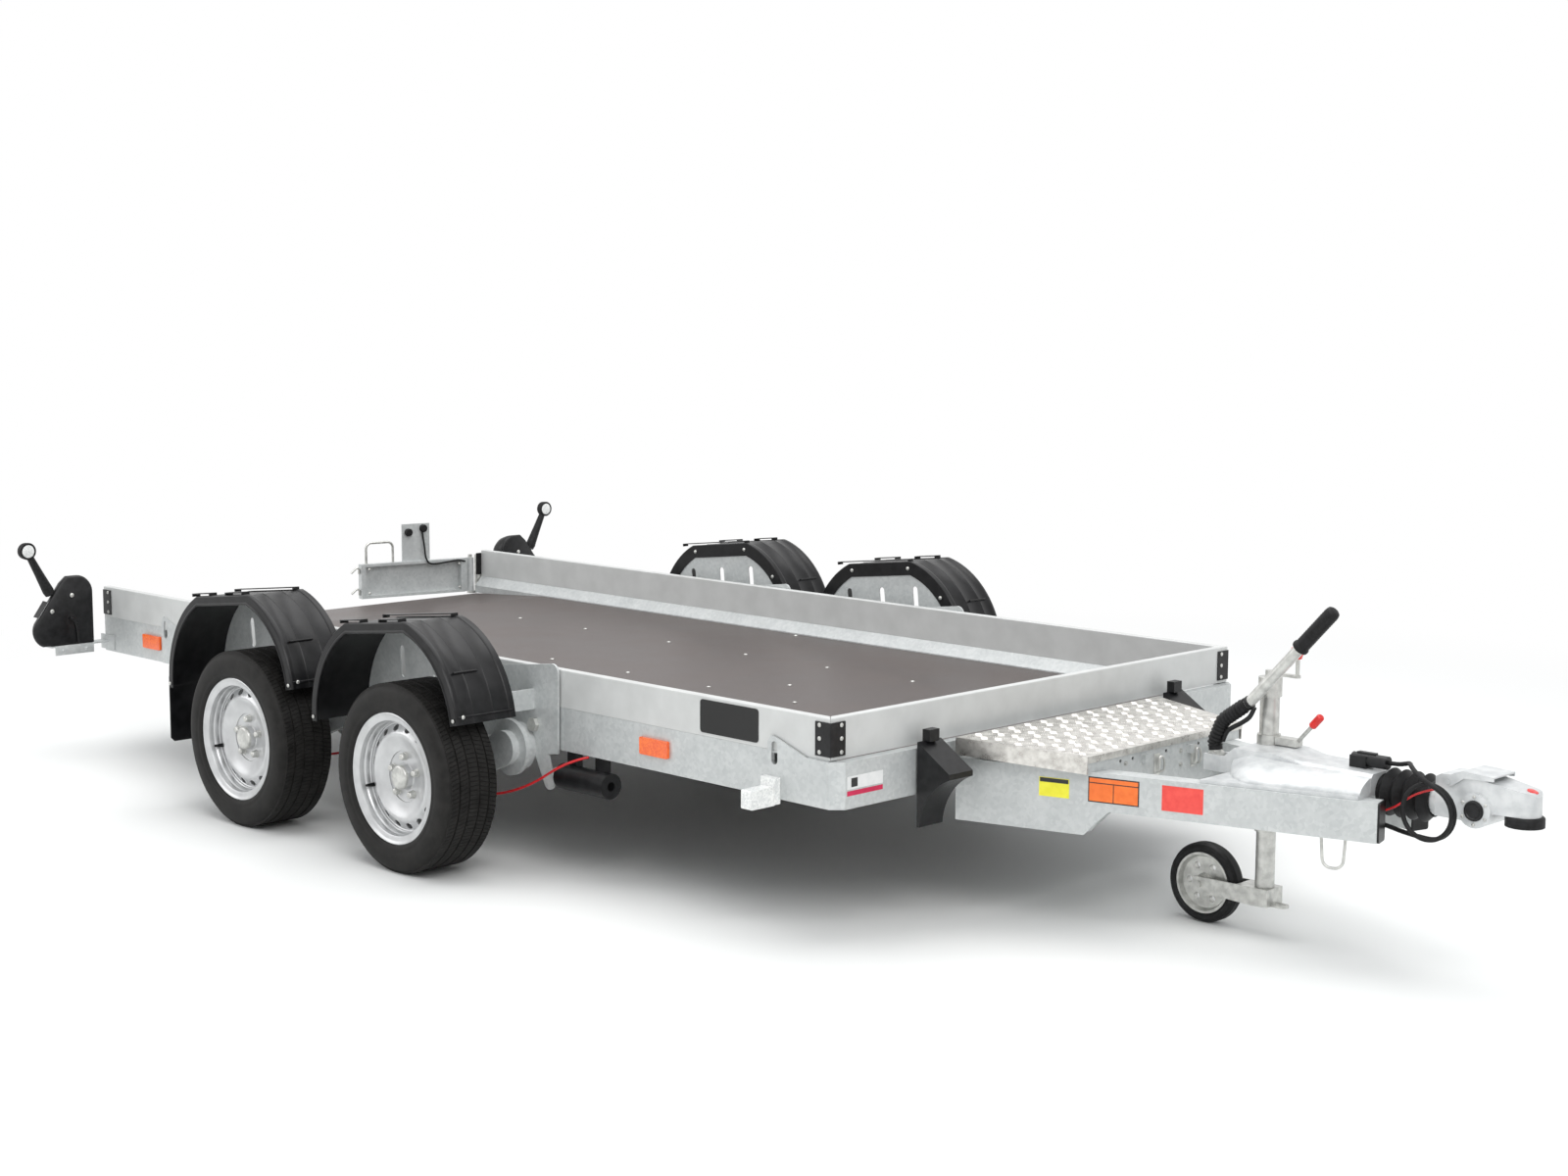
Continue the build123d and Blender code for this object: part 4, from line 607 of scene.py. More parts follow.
def arc_through(one, two, three, count):
    """Points along the arc through three points of a plane, without the last."""
    ax, ay = one
    bx, by = two
    cx, cy = three
    d = 2 * (ax * (by - cy) + bx * (cy - ay) + cx * (ay - by))
    a, b, c = ax * ax + ay * ay, bx * bx + by * by, cx * cx + cy * cy
    ux = (a * (by - cy) + b * (cy - ay) + c * (ay - by)) / d
    uy = (a * (cx - bx) + b * (ax - cx) + c * (bx - ax)) / d
    start, end = atan2(ay - uy, ax - ux), atan2(cy - uy, cx - ux)
    radius = ((ax - ux) ** 2 + (ay - uy) ** 2) ** 0.5
    return [(ux + radius * cos(start + (end - start) * k / count),
             uy + radius * sin(start + (end - start) * k / count)) for k in range(count)]


front_arc = arc_through((0.345, 0), (0.288, 0.168), (0.141, 0.278), 18)
guard_line = front_arc + [(0.141 - 0.282 * k / 6, 0.278) for k in range(7)]
guard_line += [(-u, v) for u, v in reversed(front_arc)]


def guard_spot(middle, sign, u, across, v):
    """A point of a mudguard: u forwards and v up in its tilted plane, across from its inside."""
    return Vector((middle + u * cos(guard_tilt) - v * sin(guard_tilt),
                   sign * (guard_inner + across),
                   guard_base + u * sin(guard_tilt) + v * cos(guard_tilt)))


# %% [markdown]
# Each guard is built on one side and then on the other with its signs turned. Bright screws hold
# the lip, and six domed bolts hold the flange to the carrier's plate. Only the rear pair has a
# hanging flap.

# %% Mudguards
def guard_form(form, middle, sign):
    """One mudguard with its pads and pressed lines; sign is -1 on the right."""
    rings = []
    last = len(guard_line) - 1
    for k, (u, v) in enumerate(guard_line):
        before, after = guard_line[max(k - 1, 0)], guard_line[min(k + 1, last)]
        run = Vector((after[0] - before[0], after[1] - before[1])).normalized()
        inward = Vector((-run.y, run.x))
        rings.append([form.verts.new(guard_spot(middle, sign, u + inward.x * deep, across,
                                                v + inward.y * deep))
                      for across, deep in guard_section])
    join_rings(form, rings)
    forwards = guard_spot(0, sign, 1, 0, 0) - guard_spot(0, sign, 0, 0, 0)
    foot, deck, foot_wide = 0.2760, 0.2830, 0.006
    for low_u, high_u, low_y, high_y in guard_pads:
        for u, far_u, low, high in ((low_u, high_u, deck, 0.0030),
                                    (low_u, low_u + foot_wide, foot, 0.0075),
                                    (high_u - foot_wide, high_u, foot, 0.0075)):
            place = placed(guard_spot(middle, sign, 0, 0, low), forwards, (0, sign, 0))
            plate(form, rectangle(u, far_u, low_y, high_y), place, high * sign, 0.0010)
    for (u, v), low_y, high_y in ((front_arc[7], 0.090, 0.168), (front_arc[1], 0.010, 0.192)):
        rod(form, [guard_spot(middle, sign, u, across, v) for across in (low_y, high_y)], 0.0030, 8)


def guard_flap(form, middle, sign):
    """The hanging flap behind a rear mudguard, with its holding strip and screws."""
    flap_x = middle - 0.345 * cos(guard_tilt) - 0.004
    low, high = guard_base - 0.210, guard_base - 0.005
    wide, corner = 0.094, 0.012
    outline = [(-wide, high), (-wide, low + corner), (-wide + corner, low), (wide - corner, low),
               (wide, low + corner), (wide, high)]
    place = placed((flap_x, sign * guard_side, 0), (0, 1, 0), (0, 0, 1))
    plate(form, outline, place, 0.005, 0.001)
    block(form, (flap_x, sign * guard_side - wide, guard_base - 0.035),
          (flap_x + 0.009, sign * guard_side + wide, high), 0.002)
    spots = [(flap_x, sign * guard_side + across, guard_base - 0.018)
             for across in (-0.07, 0, 0.07)]
    screw_heads(form, spots, (-1, 0, 0), 0.0055, material=1)


flange_bolts = ((0.322, 0.030), (0.262, 0.155), (0.128, 0.255), (-0.128, 0.255),
                (-0.262, 0.155), (-0.322, 0.030))
for end, middle in guard_middle.items():
    form = bmesh.new()
    for sign in (-1, 1):
        guard_form(form, middle, sign)
        for spots, facing, radius in (
            ([(0.331, 0.199, 0.012), (-0.331, 0.199, 0.012)], (0, sign, 0), 0.0055),
            ([(0.3445, 0.175, 0.020)], (1, 0, 0), 0.0055),
            ([(u, -0.002, v) for u, v in flange_bolts], (0, -sign, 0), 0.0065),
        ):
            screw_heads(form, [guard_spot(middle, sign, *spot) for spot in spots], facing, radius,
                        material=1)
        if end == "rear":
            guard_flap(form, middle, sign)
    piece(f"pressed_mudguards_{end}", form, [black_guard, bright_zinc], f"carriers_{end}",
          replaces=(f"mudguards_{end}",), smooth=40)

# %% [markdown]
# A tail lamp is a black housing with rounded shoulders and a slanting outer corner, which carries
# a blank pale label. Its outline is drawn once, and copies of it in seven layers, one behind the
# other, round its front edge and its back. A short cable runs down its front, and its bracket ends
# in a small bolted flange.

# %% Tail lamps and their flanges
lamp_inner, lamp_outer = 0.881, 1.101
lamp_bottom, lamp_top = 0.380, 0.615
lamp_front = rear_x + 0.030
slope_top = Vector((lamp_outer - 0.100, lamp_top - 0.022))
slope_foot = Vector((lamp_outer - 0.006, lamp_bottom + 0.080))
slope = (slope_foot - slope_top).normalized()
outward = Vector((-slope.y, slope.x))
red_lens = finish("red_lens", (0.55, 0.006, 0.004), (0.78, 0.012, 0.008), 0.004, (0.08, 0.18),
                  coat=0.6, bump=0.4, bump_size=0.003, cells=True)
label_white = finish("blank_label", (0.74, 0.745, 0.74), (0.80, 0.80, 0.79), 0.02, (0.30, 0.42))
outline = arc_through(tuple(slope_foot), (lamp_outer, lamp_bottom + 0.044),
                      (lamp_outer - 0.034, lamp_bottom), 8)
outline += [(lamp_outer - 0.034, lamp_bottom), (lamp_inner, lamp_bottom)]
outline += arc_through((lamp_inner, lamp_top - 0.056), (lamp_inner + 0.017, lamp_top - 0.017),
                       (lamp_inner + 0.056, lamp_top), 8)
outline += [(lamp_inner + 0.056, lamp_top), (lamp_outer - 0.125, lamp_top), tuple(slope_top)]
layers = (
    # distance behind the front, share of the outline's size, drawn in towards the deck
    (0.000, 0.940, 0.000), (0.004, 0.985, 0.000), (0.010, 1.000, 0.000), (0.026, 0.985, 0.004),
    (0.044, 0.930, 0.012), (0.056, 0.840, 0.018), (0.060, 0.760, 0.020),
)
lamp_heart = Vector((lamp_inner + 0.095, lamp_bottom + 0.105))
form = bmesh.new()
for sign in (-1, 1):
    rings = []
    for behind, share, drawn in layers:
        rings.append([])
        for y, z in outline:
            y = lamp_heart.x + (y - lamp_heart.x) * share - drawn
            z = max(lamp_heart.y + (z - lamp_heart.y) * share, lamp_bottom)
            rings[-1].append(form.verts.new((lamp_front - behind, sign * y, z)))
    join_rings(form, rings)
    out = Vector((0.15, sign * outward.x, outward.y)).normalized()
    along = Vector((0, sign * slope.x, slope.y))
    middle = slope_top + slope * 0.105
    corner = Vector((lamp_front - 0.012, sign * middle.x, middle.y)) + out * 0.0005
    place = placed(corner, along.cross(out), along)
    low, high = sorted((sign * -0.024, sign * 0.006))
    plate(form, ((low, -0.030), (high, -0.030), (high, 0.034), (low, 0.034)), place, 0.0012,
          0.0003, material=1)
    front = Vector((lamp_front, 0, 0))
    spots = [front + Vector((0, sign * y, z)) for y, z in ((0.961, 0.549), (1.035, 0.500))]
    screw_heads(form, spots, (1, 0, 0), 0.0075, material=2)
    rod(form, smooth_path([front + Vector((0.002, sign * y, z)) for y, z in
                           ((0.972, 0.472), (0.956, 0.462), (0.946, 0.436), (0.942, 0.386))], 5),
        0.0050, 10)
piece("lamp_housings", form, [black_plastic, label_white, bright_zinc], "frame",
      replaces=("tail_lamps",), smooth=50)

form = bmesh.new()
for sign in (-1, 1):
    low, high = sorted((sign * 0.886, sign * 1.028))
    block(form, (rear_x + 0.0288, low, 0.3475), (rear_x + 0.0318, high, 0.3796), 0.0010)
    spots = [(rear_x + 0.0318, sign * y, 0.3630) for y in (0.915, 1.000)]
    screw_heads(form, spots, (1, 0, 0), 0.0055)
piece("lamp_flanges", form, galvanised, "frame", smooth=40)

# %% [markdown]
# Each marker lamp stands on a tapering rubber arm, so that it bends instead of breaking when it
# brushes against something. It shows white to the front and red to the rear.

# %% Marker lamps
marker = Vector((rear_x + 0.012, lamp_outer + 0.008, 0.709))
foot = slope_top + (slope_foot - slope_top) * 0.3
form = bmesh.new()
for sign in (-1, 1):
    centre = Vector((marker.x, sign * marker.y, marker.z))
    base = Vector((marker.x, sign * foot.x, foot.y))
    line = [base + (centre - base) * share for share in (0.02, 0.10, 0.22, 0.50, 0.88)]
    rod(form, line, [0.0165, 0.0190, 0.0175, 0.0145, 0.0115], 18)
    turned(form, ((-0.013, 0.0200), (-0.011, 0.0275), (0.0105, 0.0290), (0.0130, 0.0275),
                  (0.0130, 0.0222), (0.0115, 0.0218)), centre, (1, 0, 0), 32)
    turned(form, ((0.0080, 0.0216), (0.0125, 0.0214), (0.0136, 0.0180), (0.0140, 0)), centre,
           (1, 0, 0), 32, 1)
    turned(form, ((0.0080, 0.0186), (0.0140, 0.0186), (0.0150, 0.0150), (0.0150, 0)), centre,
           (-1, 0, 0), 32, 2)
piece("marker_lamps", form, [black_rubber, white_lens, red_lens], "frame",
      replaces=("marker_arms",), smooth=40)

# %% [markdown]
# The floor is screwed down from above and the corner caps are held by short bright screws. Heads
# are turned domes, and they sit on the surface they hold.

# %% Screws in the floor and the corner caps
form = bmesh.new()
floor_screws = ((-2.287, 0.330), (-1.864, 0.334), (-1.498, 0.334), (-1.134, 0.334), (-0.779, 0.334),
                (-1.854, -0.170), (-1.491, -0.170), (-1.131, -0.170), (-0.773, -0.170),
                (-0.987, 0.023), (-1.675, 0.740), (-2.287, -0.170), (-1.675, -0.740),
                (-0.400, 0.334), (-0.400, -0.170), (-2.650, 0.334), (-2.650, -0.170))
screw_heads(form, [(front_x + x, y, floor_top) for x, y in floor_screws], (0, 0, 1), 0.0065)
cap_thick = 0.0033
for x, facing in ((front_x + cap_thick, 1), (rear_x - cap_thick, -1)):
    for sign in (-1, 1):
        for height in (0.4800, 0.5135, 0.5465):
            screw_heads(form, [(x, sign * (half_deck - 0.034), height)], (facing, 0, 0), 0.0055)
            screw_heads(form, [(x - facing * 0.037, sign * (half_deck + cap_thick), height)],
                        (0, sign, 0), 0.0055)
piece("deck_screws", form, bright_zinc, "frame", smooth=35)

# %% [markdown]
# The box lid is bright tread plate. Short rounded bars stand in groups of five, and neighbouring
# groups lie at right angles; each bar is a small flattened lozenge set just into the sheet.

# %% Tread on the lid
lid_slope = radians(2.6)
box_x = front_x + 0.050
box_length = 0.341
lid_place = placed((box_x, 0, 0.474), (cos(lid_slope), 0, -sin(lid_slope)), (0, 1, 0))
beam_slope = atan2(0.400 - 0.112, 1.060 - 0.032)
form = bmesh.new()
cell = 0.0325
lid_half, lid_margin = 0.425, 0.020
bar = ((-0.0115, 0), (-0.0085, -0.0017), (0.0085, -0.0017), (0.0115, 0), (0.0085, 0.0017),
       (-0.0085, 0.0017))
for row in range(10):
    for column in range(-13, 14):
        u, v = (row + 0.55) * cell, (column + (row % 2) * 0.5) * cell
        if abs(v) > lid_half - u * tan(beam_slope) - lid_margin:
            continue
        lean = radians(45 if (row + column) % 2 else -45)
        for number in range(5):
            aside = (number - 2) * 0.0058
            middle = (u - aside * sin(lean), v + aside * cos(lean))
            base, top = [], []
            for a, b in bar:
                spot = (middle[0] + a * cos(lean) - b * sin(lean),
                        middle[1] + a * sin(lean) + b * cos(lean))
                inset = (middle[0] + 0.6 * (spot[0] - middle[0]),
                         middle[1] + 0.6 * (spot[1] - middle[1]))
                base.append(form.verts.new(lid_place @ Vector((*spot, -0.0004))))
                top.append(form.verts.new(lid_place @ Vector((*inset, 0.0011))))
            join_rings(form, [base, top])
piece("lid_tread", form, tread_metal, "lid", smooth=60)

# %% [markdown]
# The front of the box carries two hasps, each a small plate with a bent wire loop, and three pairs
# of hexagon heads. The wire is a rod along a smoothed path of eight points.

# %% Box hardware
plate_x = box_x + box_length - 0.005
form = bmesh.new()
hasp_wire = ((0.002, -0.010, 0.380), (0.015, -0.010, 0.386), (0.017, -0.010, 0.405),
             (0.015, -0.006, 0.420), (0.015, 0.006, 0.420), (0.017, 0.010, 0.405),
             (0.015, 0.010, 0.386), (0.002, 0.010, 0.380))
for y in (-0.040, 0.118):
    place = placed((plate_x, y, 0), (0, 1, 0), (0, 0, 1))
    plate(form, rectangle(-0.012, 0.012, 0.372, 0.428), place, 0.0025, 0.0008)
    rod(form, smooth_path([Vector((plate_x, y, 0)) + Vector(spot) for spot in hasp_wire], 4),
        0.003, 8)
spots = [(plate_x, y, z) for y in (-0.170, 0.062, 0.200) for z in (0.385, 0.420)]
hexagon_heads(form, spots, (1, 0, 0), 0.0048, 0.005)
piece("box_hasps", form, bright_zinc, "frame", smooth=35)

# %% [markdown]
# Labels on this trailer stay blank: only their colours and borders are kept. Each is a thin sheet
# on the outer face of the right beam or of the front member.

# %% Blank labels
label_yellow = finish("label_yellow", (0.86, 0.80, 0.03), (0.94, 0.88, 0.05), 0.02, (0.28, 0.36))
label_orange = finish("label_orange", (0.86, 0.16, 0.02), (0.94, 0.20, 0.03), 0.02, (0.28, 0.36))
label_red = finish("label_red", (0.80, 0.06, 0.05), (0.88, 0.09, 0.07), 0.02, (0.28, 0.36))
label_crimson = finish("label_crimson", (0.52, 0.008, 0.06), (0.62, 0.012, 0.08), 0.02, (0.3, 0.4))
label_black = finish("label_black", (0.012, 0.012, 0.012), (0.02, 0.02, 0.02), 0.02, (0.3, 0.4))
beam_out = Vector((sin(beam_slope), -cos(beam_slope), 0))
beam_along = Vector((cos(beam_slope), sin(beam_slope), 0))
beam_start = Vector((front_x + 0.032, -0.400, 0))
form = bmesh.new()
upwards = (0, 0, 1)
beam_labels = (
    # along the beam from, to, height from, to, lift, material
    (0.226, 0.306, 0.3440, 0.3920, 0.0002, 0),
    (0.228, 0.304, 0.3800, 0.3905, 0.0005, 4),
    (0.356, 0.488, 0.3430, 0.4060, 0.0002, 4),
    (0.359, 0.485, 0.3460, 0.3900, 0.0005, 1),
    (0.359, 0.485, 0.3925, 0.4030, 0.0005, 1),
    (0.421, 0.423, 0.3460, 0.3900, 0.0008, 4),
    (0.546, 0.650, 0.3420, 0.4040, 0.0002, 2),
)
for *edges, lift, tone in beam_labels:
    place = placed(beam_start + beam_out * lift, beam_along, upwards)
    plate(form, rectangle(*edges), place, 0.0003, material=tone)
member_x = front_x + 0.0302
member_labels = (
    # across the front member from, to, height from, to, lift, material
    (-0.798, -0.672, 0.392, 0.424, 0, 5), (-0.798, -0.672, 0.376, 0.388, 0, 3),
    (-0.784, -0.762, 0.397, 0.419, 0.0004, 4),
)
for *edges, lift, tone in member_labels:
    place = placed((member_x + lift, 0, 0), (0, 1, 0), upwards)
    plate(form, rectangle(*edges), place, 0.0003, material=tone)
piece("blank_labels", form, [label_yellow, label_orange, label_red, label_crimson, label_black,
                             label_white], "frame")

# %% [markdown]
# The brake lever's foot is wrapped in a folded rubber sleeve: a tube whose radius swings between
# two values along the lever's bend. The path is thinned to even steps first, so the folds are as
# far apart in the bend as on the straight.

# %% Sleeve of the brake lever
lever = Vector((front_x + 0.572, -0.052, 0.436))
line = smooth_path([lever + Vector((x, 0, z)) for x, z in
                    ((-0.0011, 0.0300), (-0.0031, 0.0456), (-0.0032, 0.0522), (-0.0015, 0.0580),
                     (0.0061, 0.0763), (0.0137, 0.0946), (0.0192, 0.1039), (0.0272, 0.1116),
                     (0.0570, 0.1332), (0.0880, 0.1557))], 16)
path = [line[0]]
for spot in line[1:]:
    if (spot - path[-1]).length > 0.0020:
        path.append(spot)
folds = (0.0188, 0.0184, 0.0158, 0.0158)
cuff = 0.0168
radii = [cuff if k < 5 or k > len(path) - 4 else folds[k % 4] for k in range(len(path))]
form = bmesh.new()
rod(form, path, radii, 28)
piece("folded_sleeve", form, black_rubber, "parking_lever",
      replaces=("lever_sleeve",), smooth=60)

# %% [markdown]
# A dark strut runs below the sleeve, close enough to clear the housing when the lever is down. The
# grip is a soft cylinder with fine rings and a stop for the hand.

# %% Strut and grip of the brake lever
form = bmesh.new()
strut = [lever + Vector(spot) for spot in
         ((0.1080, 0, 0.1480), (0.0940, 0, 0.1225), (0.0700, 0, 0.1045), (0.0520, 0, 0.0942),
          (0.0385, 0, 0.0855), (0.0325, 0, 0.0808), (0.0262, 0, 0.0705), (0.0195, 0, 0.0540))]
rod(form, smooth_path(strut, 5), 0.0058, 12)
turned(form, ((-0.004, 0.0168), (0.004, 0.0168)), lever + Vector((0.0925, 0, 0.1588)),
       (0.70, 0, 0.51), 24)
piece("lever_strut", form, black_plastic, "parking_lever", smooth=40)

grip_start = lever + Vector((0.228, 0, 0.305))
grip_along = Vector((0.134, 0, 0.145)).normalized()
profile = [(0.0003, 0), (0.0003, 0.0180), (0.0020, 0.0205), (0.0060, 0.0212), (0.0100, 0.0205),
           (0.0130, 0.0186)]
profile += [(0.0160 + k * 0.0036, 0.0184 if k % 2 else 0.0176) for k in range(30)]
profile += [(0.1280, 0.0176), (0.1340, 0.0160), (0.1370, 0.0120), (0.1380, 0.0060), (0.1380, 0)]
form = bmesh.new()
turned(form, profile, grip_start, grip_along, 28)
piece("ringed_grip", form, black_rubber, "parking_lever",
      replaces=("lever_grip",), smooth=50)

# %% [markdown]
# The coupling head is a bright casting that stays as CAD made it. Only its small fittings are
# added: a round cover on both sides with screws round it, and a blank red button on the nose.

# %% Coupling details
cover_profile = ((0, 0.0240), (0.0025, 0.0240), (0.0060, 0.0215), (0.0065, 0.0180),
                 (0.0045, 0.0160), (0.0045, 0))
screw_circle = 0.0320
form = bmesh.new()
for sign in (-1, 1):
    cover = Vector((front_x + 1.268, sign * 0.0521, 0.424))
    turned(form, cover_profile, cover, (0, sign, 0), 32, 1)
    spots = [cover + screw_circle * Vector((cos(radians(turn)), 0, sin(radians(turn))))
             for turn in range(30, 390, 60)]
    screw_heads(form, spots, (0, sign, 0), 0.0040)
turned(form, ((0, 0.0130), (0.0016, 0.0130), (0.0024, 0.0110), (0.0024, 0)),
       (front_x + 1.3815, 0, 0.4779), (0.30, 0, 0.95), 24, 2)
piece("coupling_trim", form, [bright_zinc, black_plastic, red_plastic], "coupling",
      smooth=40)

# %% [markdown]
# The overrun housing is a casting with broad shoulders that run down to the beams. Each shoulder
# is skinned over sections across the trailer, with one rounded corner between its top and its
# foot. The knob of the jockey wheel's crank is a block that narrows downwards.

# %% Shoulders of the housing and the crank's knob
form = bmesh.new()
shoulder_foot = 0.4246
shoulder_rise = shoulder_foot + 0.004
roundness = 1.35
housing_start, housing_run = 0.606, 0.403
slope_end, front_drop = 0.690, 0.35
shoulders = (
    # ahead of the deck, reach to the side
    (0.6410, 0.090), (0.6600, 0.118), (0.6900, 0.150), (0.7250, 0.170), (0.7600, 0.174),
    (0.8000, 0.166), (0.9000, 0.138), (1.0000, 0.111), (1.0085, 0.106),
)
for sign in (-1, 1):
    rings = []
    for ahead, reach in shoulders:
        share = (ahead - housing_start) / housing_run
        inner, high = 0.075 - 0.016 * share, 0.4740 - 0.013 * share
        high -= max(slope_end - ahead, 0) * front_drop
        ring = [(inner - 0.010, shoulder_foot), (reach, shoulder_foot)]
        for k in range(9):
            turn = pi / 2 * k / 8
            ring.append((inner + (reach - inner) * cos(turn) ** roundness,
                         shoulder_rise + (high - shoulder_rise) * sin(turn) ** roundness))
        ring.append((inner - 0.010, high))
        rings.append([form.verts.new((front_x + ahead, sign * y, z)) for y, z in ring])
    join_rings(form, rings)
piece("housing_shoulders", form, cast, "frame", smooth=35)

form = bmesh.new()
knob = Vector((front_x + 0.740, 0.038, 0.7002))
knob_sections = (
    # height, half its width, half its depth
    (0, 0.0085, 0.0085), (0.0040, 0.0095, 0.0090), (0.0180, 0.0150, 0.0100),
    (0.0240, 0.0172, 0.0105), (0.0270, 0.0168, 0.0100), (0.0284, 0.0140, 0.0080),
)
rings = []
for high, wide, deep in knob_sections:
    rings.append([])
    for k in range(24):
        turn = 2 * pi * k / 24
        u, v = cos(turn), sin(turn)
        rings[-1].append(form.verts.new(knob + Vector((
            wide * copysign(abs(u) ** 0.6, u), deep * copysign(abs(v) ** 0.6, v), high))))
join_rings(form, rings)
piece("crank_handle", form, red_plastic, "jockey_handle", replaces=("crank_knob",),
      smooth=40)

# %% [markdown]
# A pressed steel rim is one turned form with holes in it. Its profile is spun in seven columns to
# each of the sixteen slots; where a slot lies, the faces of the disc's front and back are left out
# and four walls join the two sides, so the form stays closed. The ends of each slot are drawn
# together a little, which rounds it.

# %% Rims
slot_count, slot_columns = 16, 7
slot_from, slot_to = 2, 5
slot_rounding = 0.25
rim_profile = (
    # distance out from the wheel's middle, radius
    (0.0595, 0), (0.0590, 0.0270), (0.0575, 0.0315), (0.0540, 0.0340), (0.0370, 0.0360),
    (0.0345, 0.0385), (0.0345, 0.0680), (0.0355, 0.0705), (0.0390, 0.0715), (0.0400, 0.0780),
    (0.0435, 0.0890), (0.0490, 0.1040), (0.0535, 0.1120), (0.0550, 0.1180), (0.0540, 0.1235),
    (0.0500, 0.1275), (0.0410, 0.1440), (0.0385, 0.1480), (0.0395, 0.1500), (0.0440, 0.1506),
    (0.0465, 0.1530), (0.0560, 0.1536), (0.0600, 0.1550), (0.0625, 0.1572), (0.0715, 0.1576),
    (0.0765, 0.1592), (0.0780, 0.1625), (0.0795, 0.1700), (0.0808, 0.1745), (0.0828, 0.1768),
    (0.0836, 0.1800), (0.0825, 0.1823), (0.0770, 0.1825), (0.0760, 0.1770), (0.0756, 0.1602),
    (-0.0756, 0.1602), (-0.0760, 0.1770), (-0.0770, 0.1825), (-0.0820, 0.1825), (-0.0820, 0.1760),
    (-0.0740, 0.1550), (0.0200, 0.1510), (0.0310, 0.1480), (0.0370, 0.1430), (0.0462, 0.1262),
    (0.0505, 0.1200), (0.0510, 0.1130), (0.0455, 0.1060), (0.0370, 0.0950), (0.0340, 0.0790),
    (0.0330, 0.0730), (0.0280, 0.0700), (0.0240, 0.0600), (-0.0600, 0.0600), (-0.0600, 0.1040),
    (-0.1120, 0.1040), (-0.1240, 0.0600), (-0.1240, 0.0178), (0.0560, 0.0178), (0.0560, 0),
)
front_row = rim_profile.index((0.0500, 0.1275))
back_row = rim_profile.index((0.0370, 0.1430))
slot_partner = {front_row: front_row + 1, front_row + 1: front_row,
                back_row: back_row + 1, back_row + 1: back_row}


def rim_form(centre, sign):
    """A slotted rim with its hub and brake drum; its outer face looks along sign times Y."""
    form = bmesh.new()
    count = slot_count * slot_columns
    rings = []
    for number, (out, radius) in enumerate(rim_profile):
        ring = []
        for k in range(count if radius else 1):
            y, r = out, radius
            if number in slot_partner and k % slot_columns in (slot_from, slot_to):
                other = rim_profile[slot_partner[number]]
                y += slot_rounding * (other[0] - y)
                r += slot_rounding * (other[1] - r)
            turn = 2 * pi * k / count
            ring.append(form.verts.new(centre + Vector((r * cos(turn), sign * y, r * sin(turn)))))
        rings.append(ring)
    open_faces = {(row, k) for row in (front_row, back_row) for k in range(count)
                  if slot_from <= k % slot_columns < slot_to}
    join_rings(form, rings, left_out=open_faces)
    inner, outer = rings[front_row], rings[front_row + 1]
    back_outer, back_inner = rings[back_row], rings[back_row + 1]
    for start in range(slot_from, count, slot_columns):
        end = start + slot_to - slot_from
        for k in range(start, end):
            form.faces.new((inner[k], inner[k + 1], back_inner[k + 1], back_inner[k]))
            form.faces.new((outer[k], outer[k + 1], back_outer[k + 1], back_outer[k]))
        for k in (start, end):
            form.faces.new((inner[k], outer[k], back_outer[k], back_inner[k]))
    return form


for end, side, sign, hub in wheels:
    piece(f"slotted_rim_{end}_{side}", rim_form(hub, sign), silver_paint,
          f"wheel_{end}_{side}", replaces=(f"rim_{end}_{side}",), smooth=35)

# %% [markdown]
# Each rim carries five bright nuts, a bright dust cap and a rubber valve. All are turned forms,
# and a nut is one that is spun in six steps. They are one piece a wheel, with two materials.

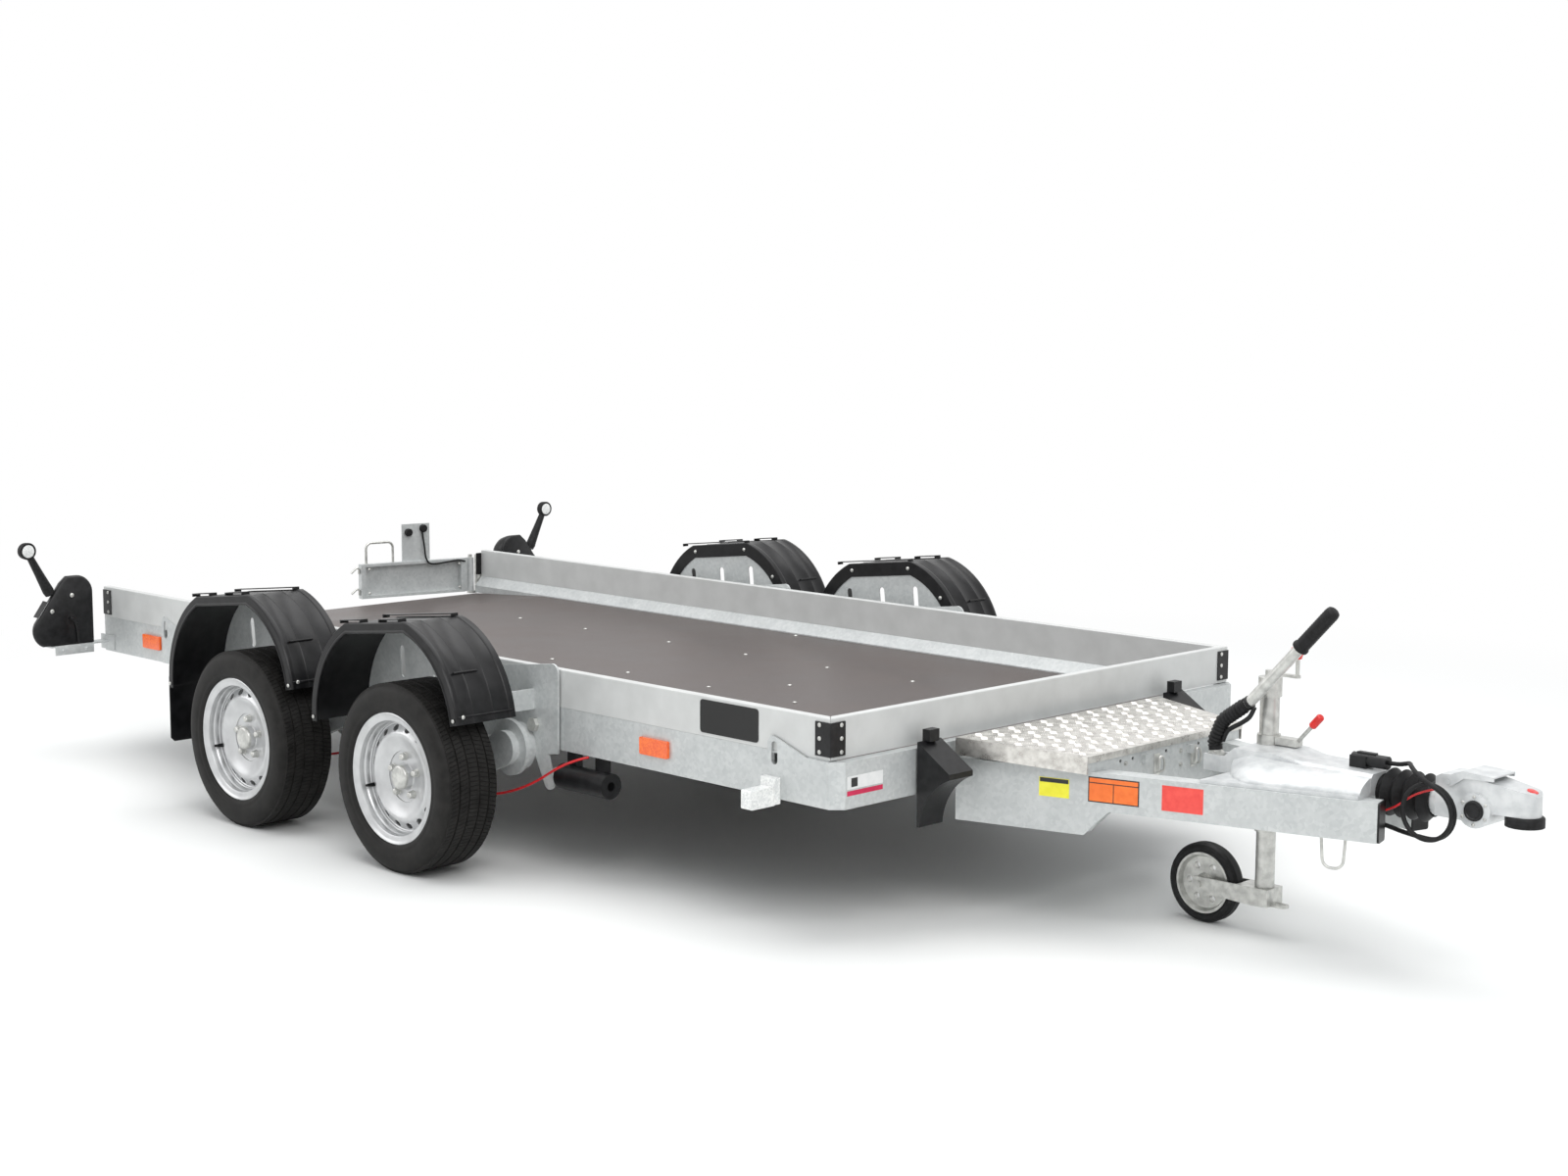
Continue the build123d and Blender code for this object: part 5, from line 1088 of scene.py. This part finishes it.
# %% Nuts, caps and valves
nut_profile = ((0, 0.0125), (0.0030, 0.0115), (0.0035, 0.0102), (0.0140, 0.0100),
               (0.0175, 0.0080), (0.0190, 0.0045), (0.0190, 0))
cap_profile = ((0.0500, 0.0345), (0.0560, 0.0340), (0.0600, 0.0318), (0.0622, 0.0270),
               (0.0618, 0.0200), (0.0628, 0))
valve_profile = ((-0.004, 0.0060), (0.010, 0.0052), (0.024, 0.0040), (0.034, 0.0038),
                 (0.036, 0.0030), (0.036, 0))
nut_circle, nut_seat = 0.056, 0.0340
valve_reach, valve_seat, valve_lean = 0.148, 0.044, 0.45
for end, side, sign, hub in wheels:
    form = bmesh.new()
    face = Vector((0, sign, 0))
    for number in range(5):
        turn = radians(18 + 72 * number)
        spot = hub + face * nut_seat + Vector((nut_circle * cos(turn), 0, nut_circle * sin(turn)))
        turned(form, nut_profile, spot, face, 6)
    turned(form, cap_profile, hub, face, 40)
    turn = radians(197)
    valve = hub + Vector((valve_reach * cos(turn), sign * valve_seat, valve_reach * sin(turn)))
    inward = Vector((-cos(turn) * valve_lean, sign, -sin(turn) * valve_lean)).normalized()
    turned(form, valve_profile, valve, inward, 14, 1)
    piece(f"rim_trim_{end}_{side}", form, [bright_zinc, black_rubber],
          f"wheel_{end}_{side}", smooth=40)

# %% [markdown]
# The gate's cable leaves the lamp bracket, runs along the panel's top edge in a shallow curve and
# ends at the post. Two round black parts sit on the bracket. All of it is placed by distances
# along the gate, out from it and up, because the gate stands open at a slant.

# %% Gate details
gate_x = rear_x - 0.020
gate_open = radians(11.7)


def gate_spot(u, v, out=0.0):
    """A point of the gate: u along it from the post, v up from its foot, out towards the deck."""
    along = Vector((-sin(gate_open), -cos(gate_open), 0))
    facing = Vector((cos(gate_open), -sin(gate_open), 0))
    return Vector((gate_x, 0.760, 0.406)) + along * u + facing * out + Vector((0, 0, v))


form = bmesh.new()
gate_run = ((0.205, 0.245, 0.008), (0.200, 0.190, 0.014), (0.195, 0.140, 0.020),
            (0.170, 0.118, 0.019), (0.110, 0.122, 0.019), (0.060, 0.126, 0.019),
            (0.030, 0.120, 0.019))
rod(form, smooth_path([gate_spot(*spot) for spot in gate_run], 6), 0.0035, 10)
facing = gate_spot(0, 0, 1) - gate_spot(0, 0, 0)
for u, v in ((0.262, 0.245), (0.200, 0.258)):
    turned(form, ((0, 0.0150), (0.010, 0.0150), (0.014, 0.0125), (0.014, 0)),
           gate_spot(u, v, 0.0032), facing, 24)
piece("gate_cable", form, black_rubber, "rear_gate", smooth=40)

form = bmesh.new()
screw_heads(form, [gate_spot(u, v, 0.0150) for u in (0.053, 0.43) for v in (0.02, 0.112)],
            facing, 0.0055)
piece("gate_rivets", form, bright_zinc, "rear_gate", smooth=40)
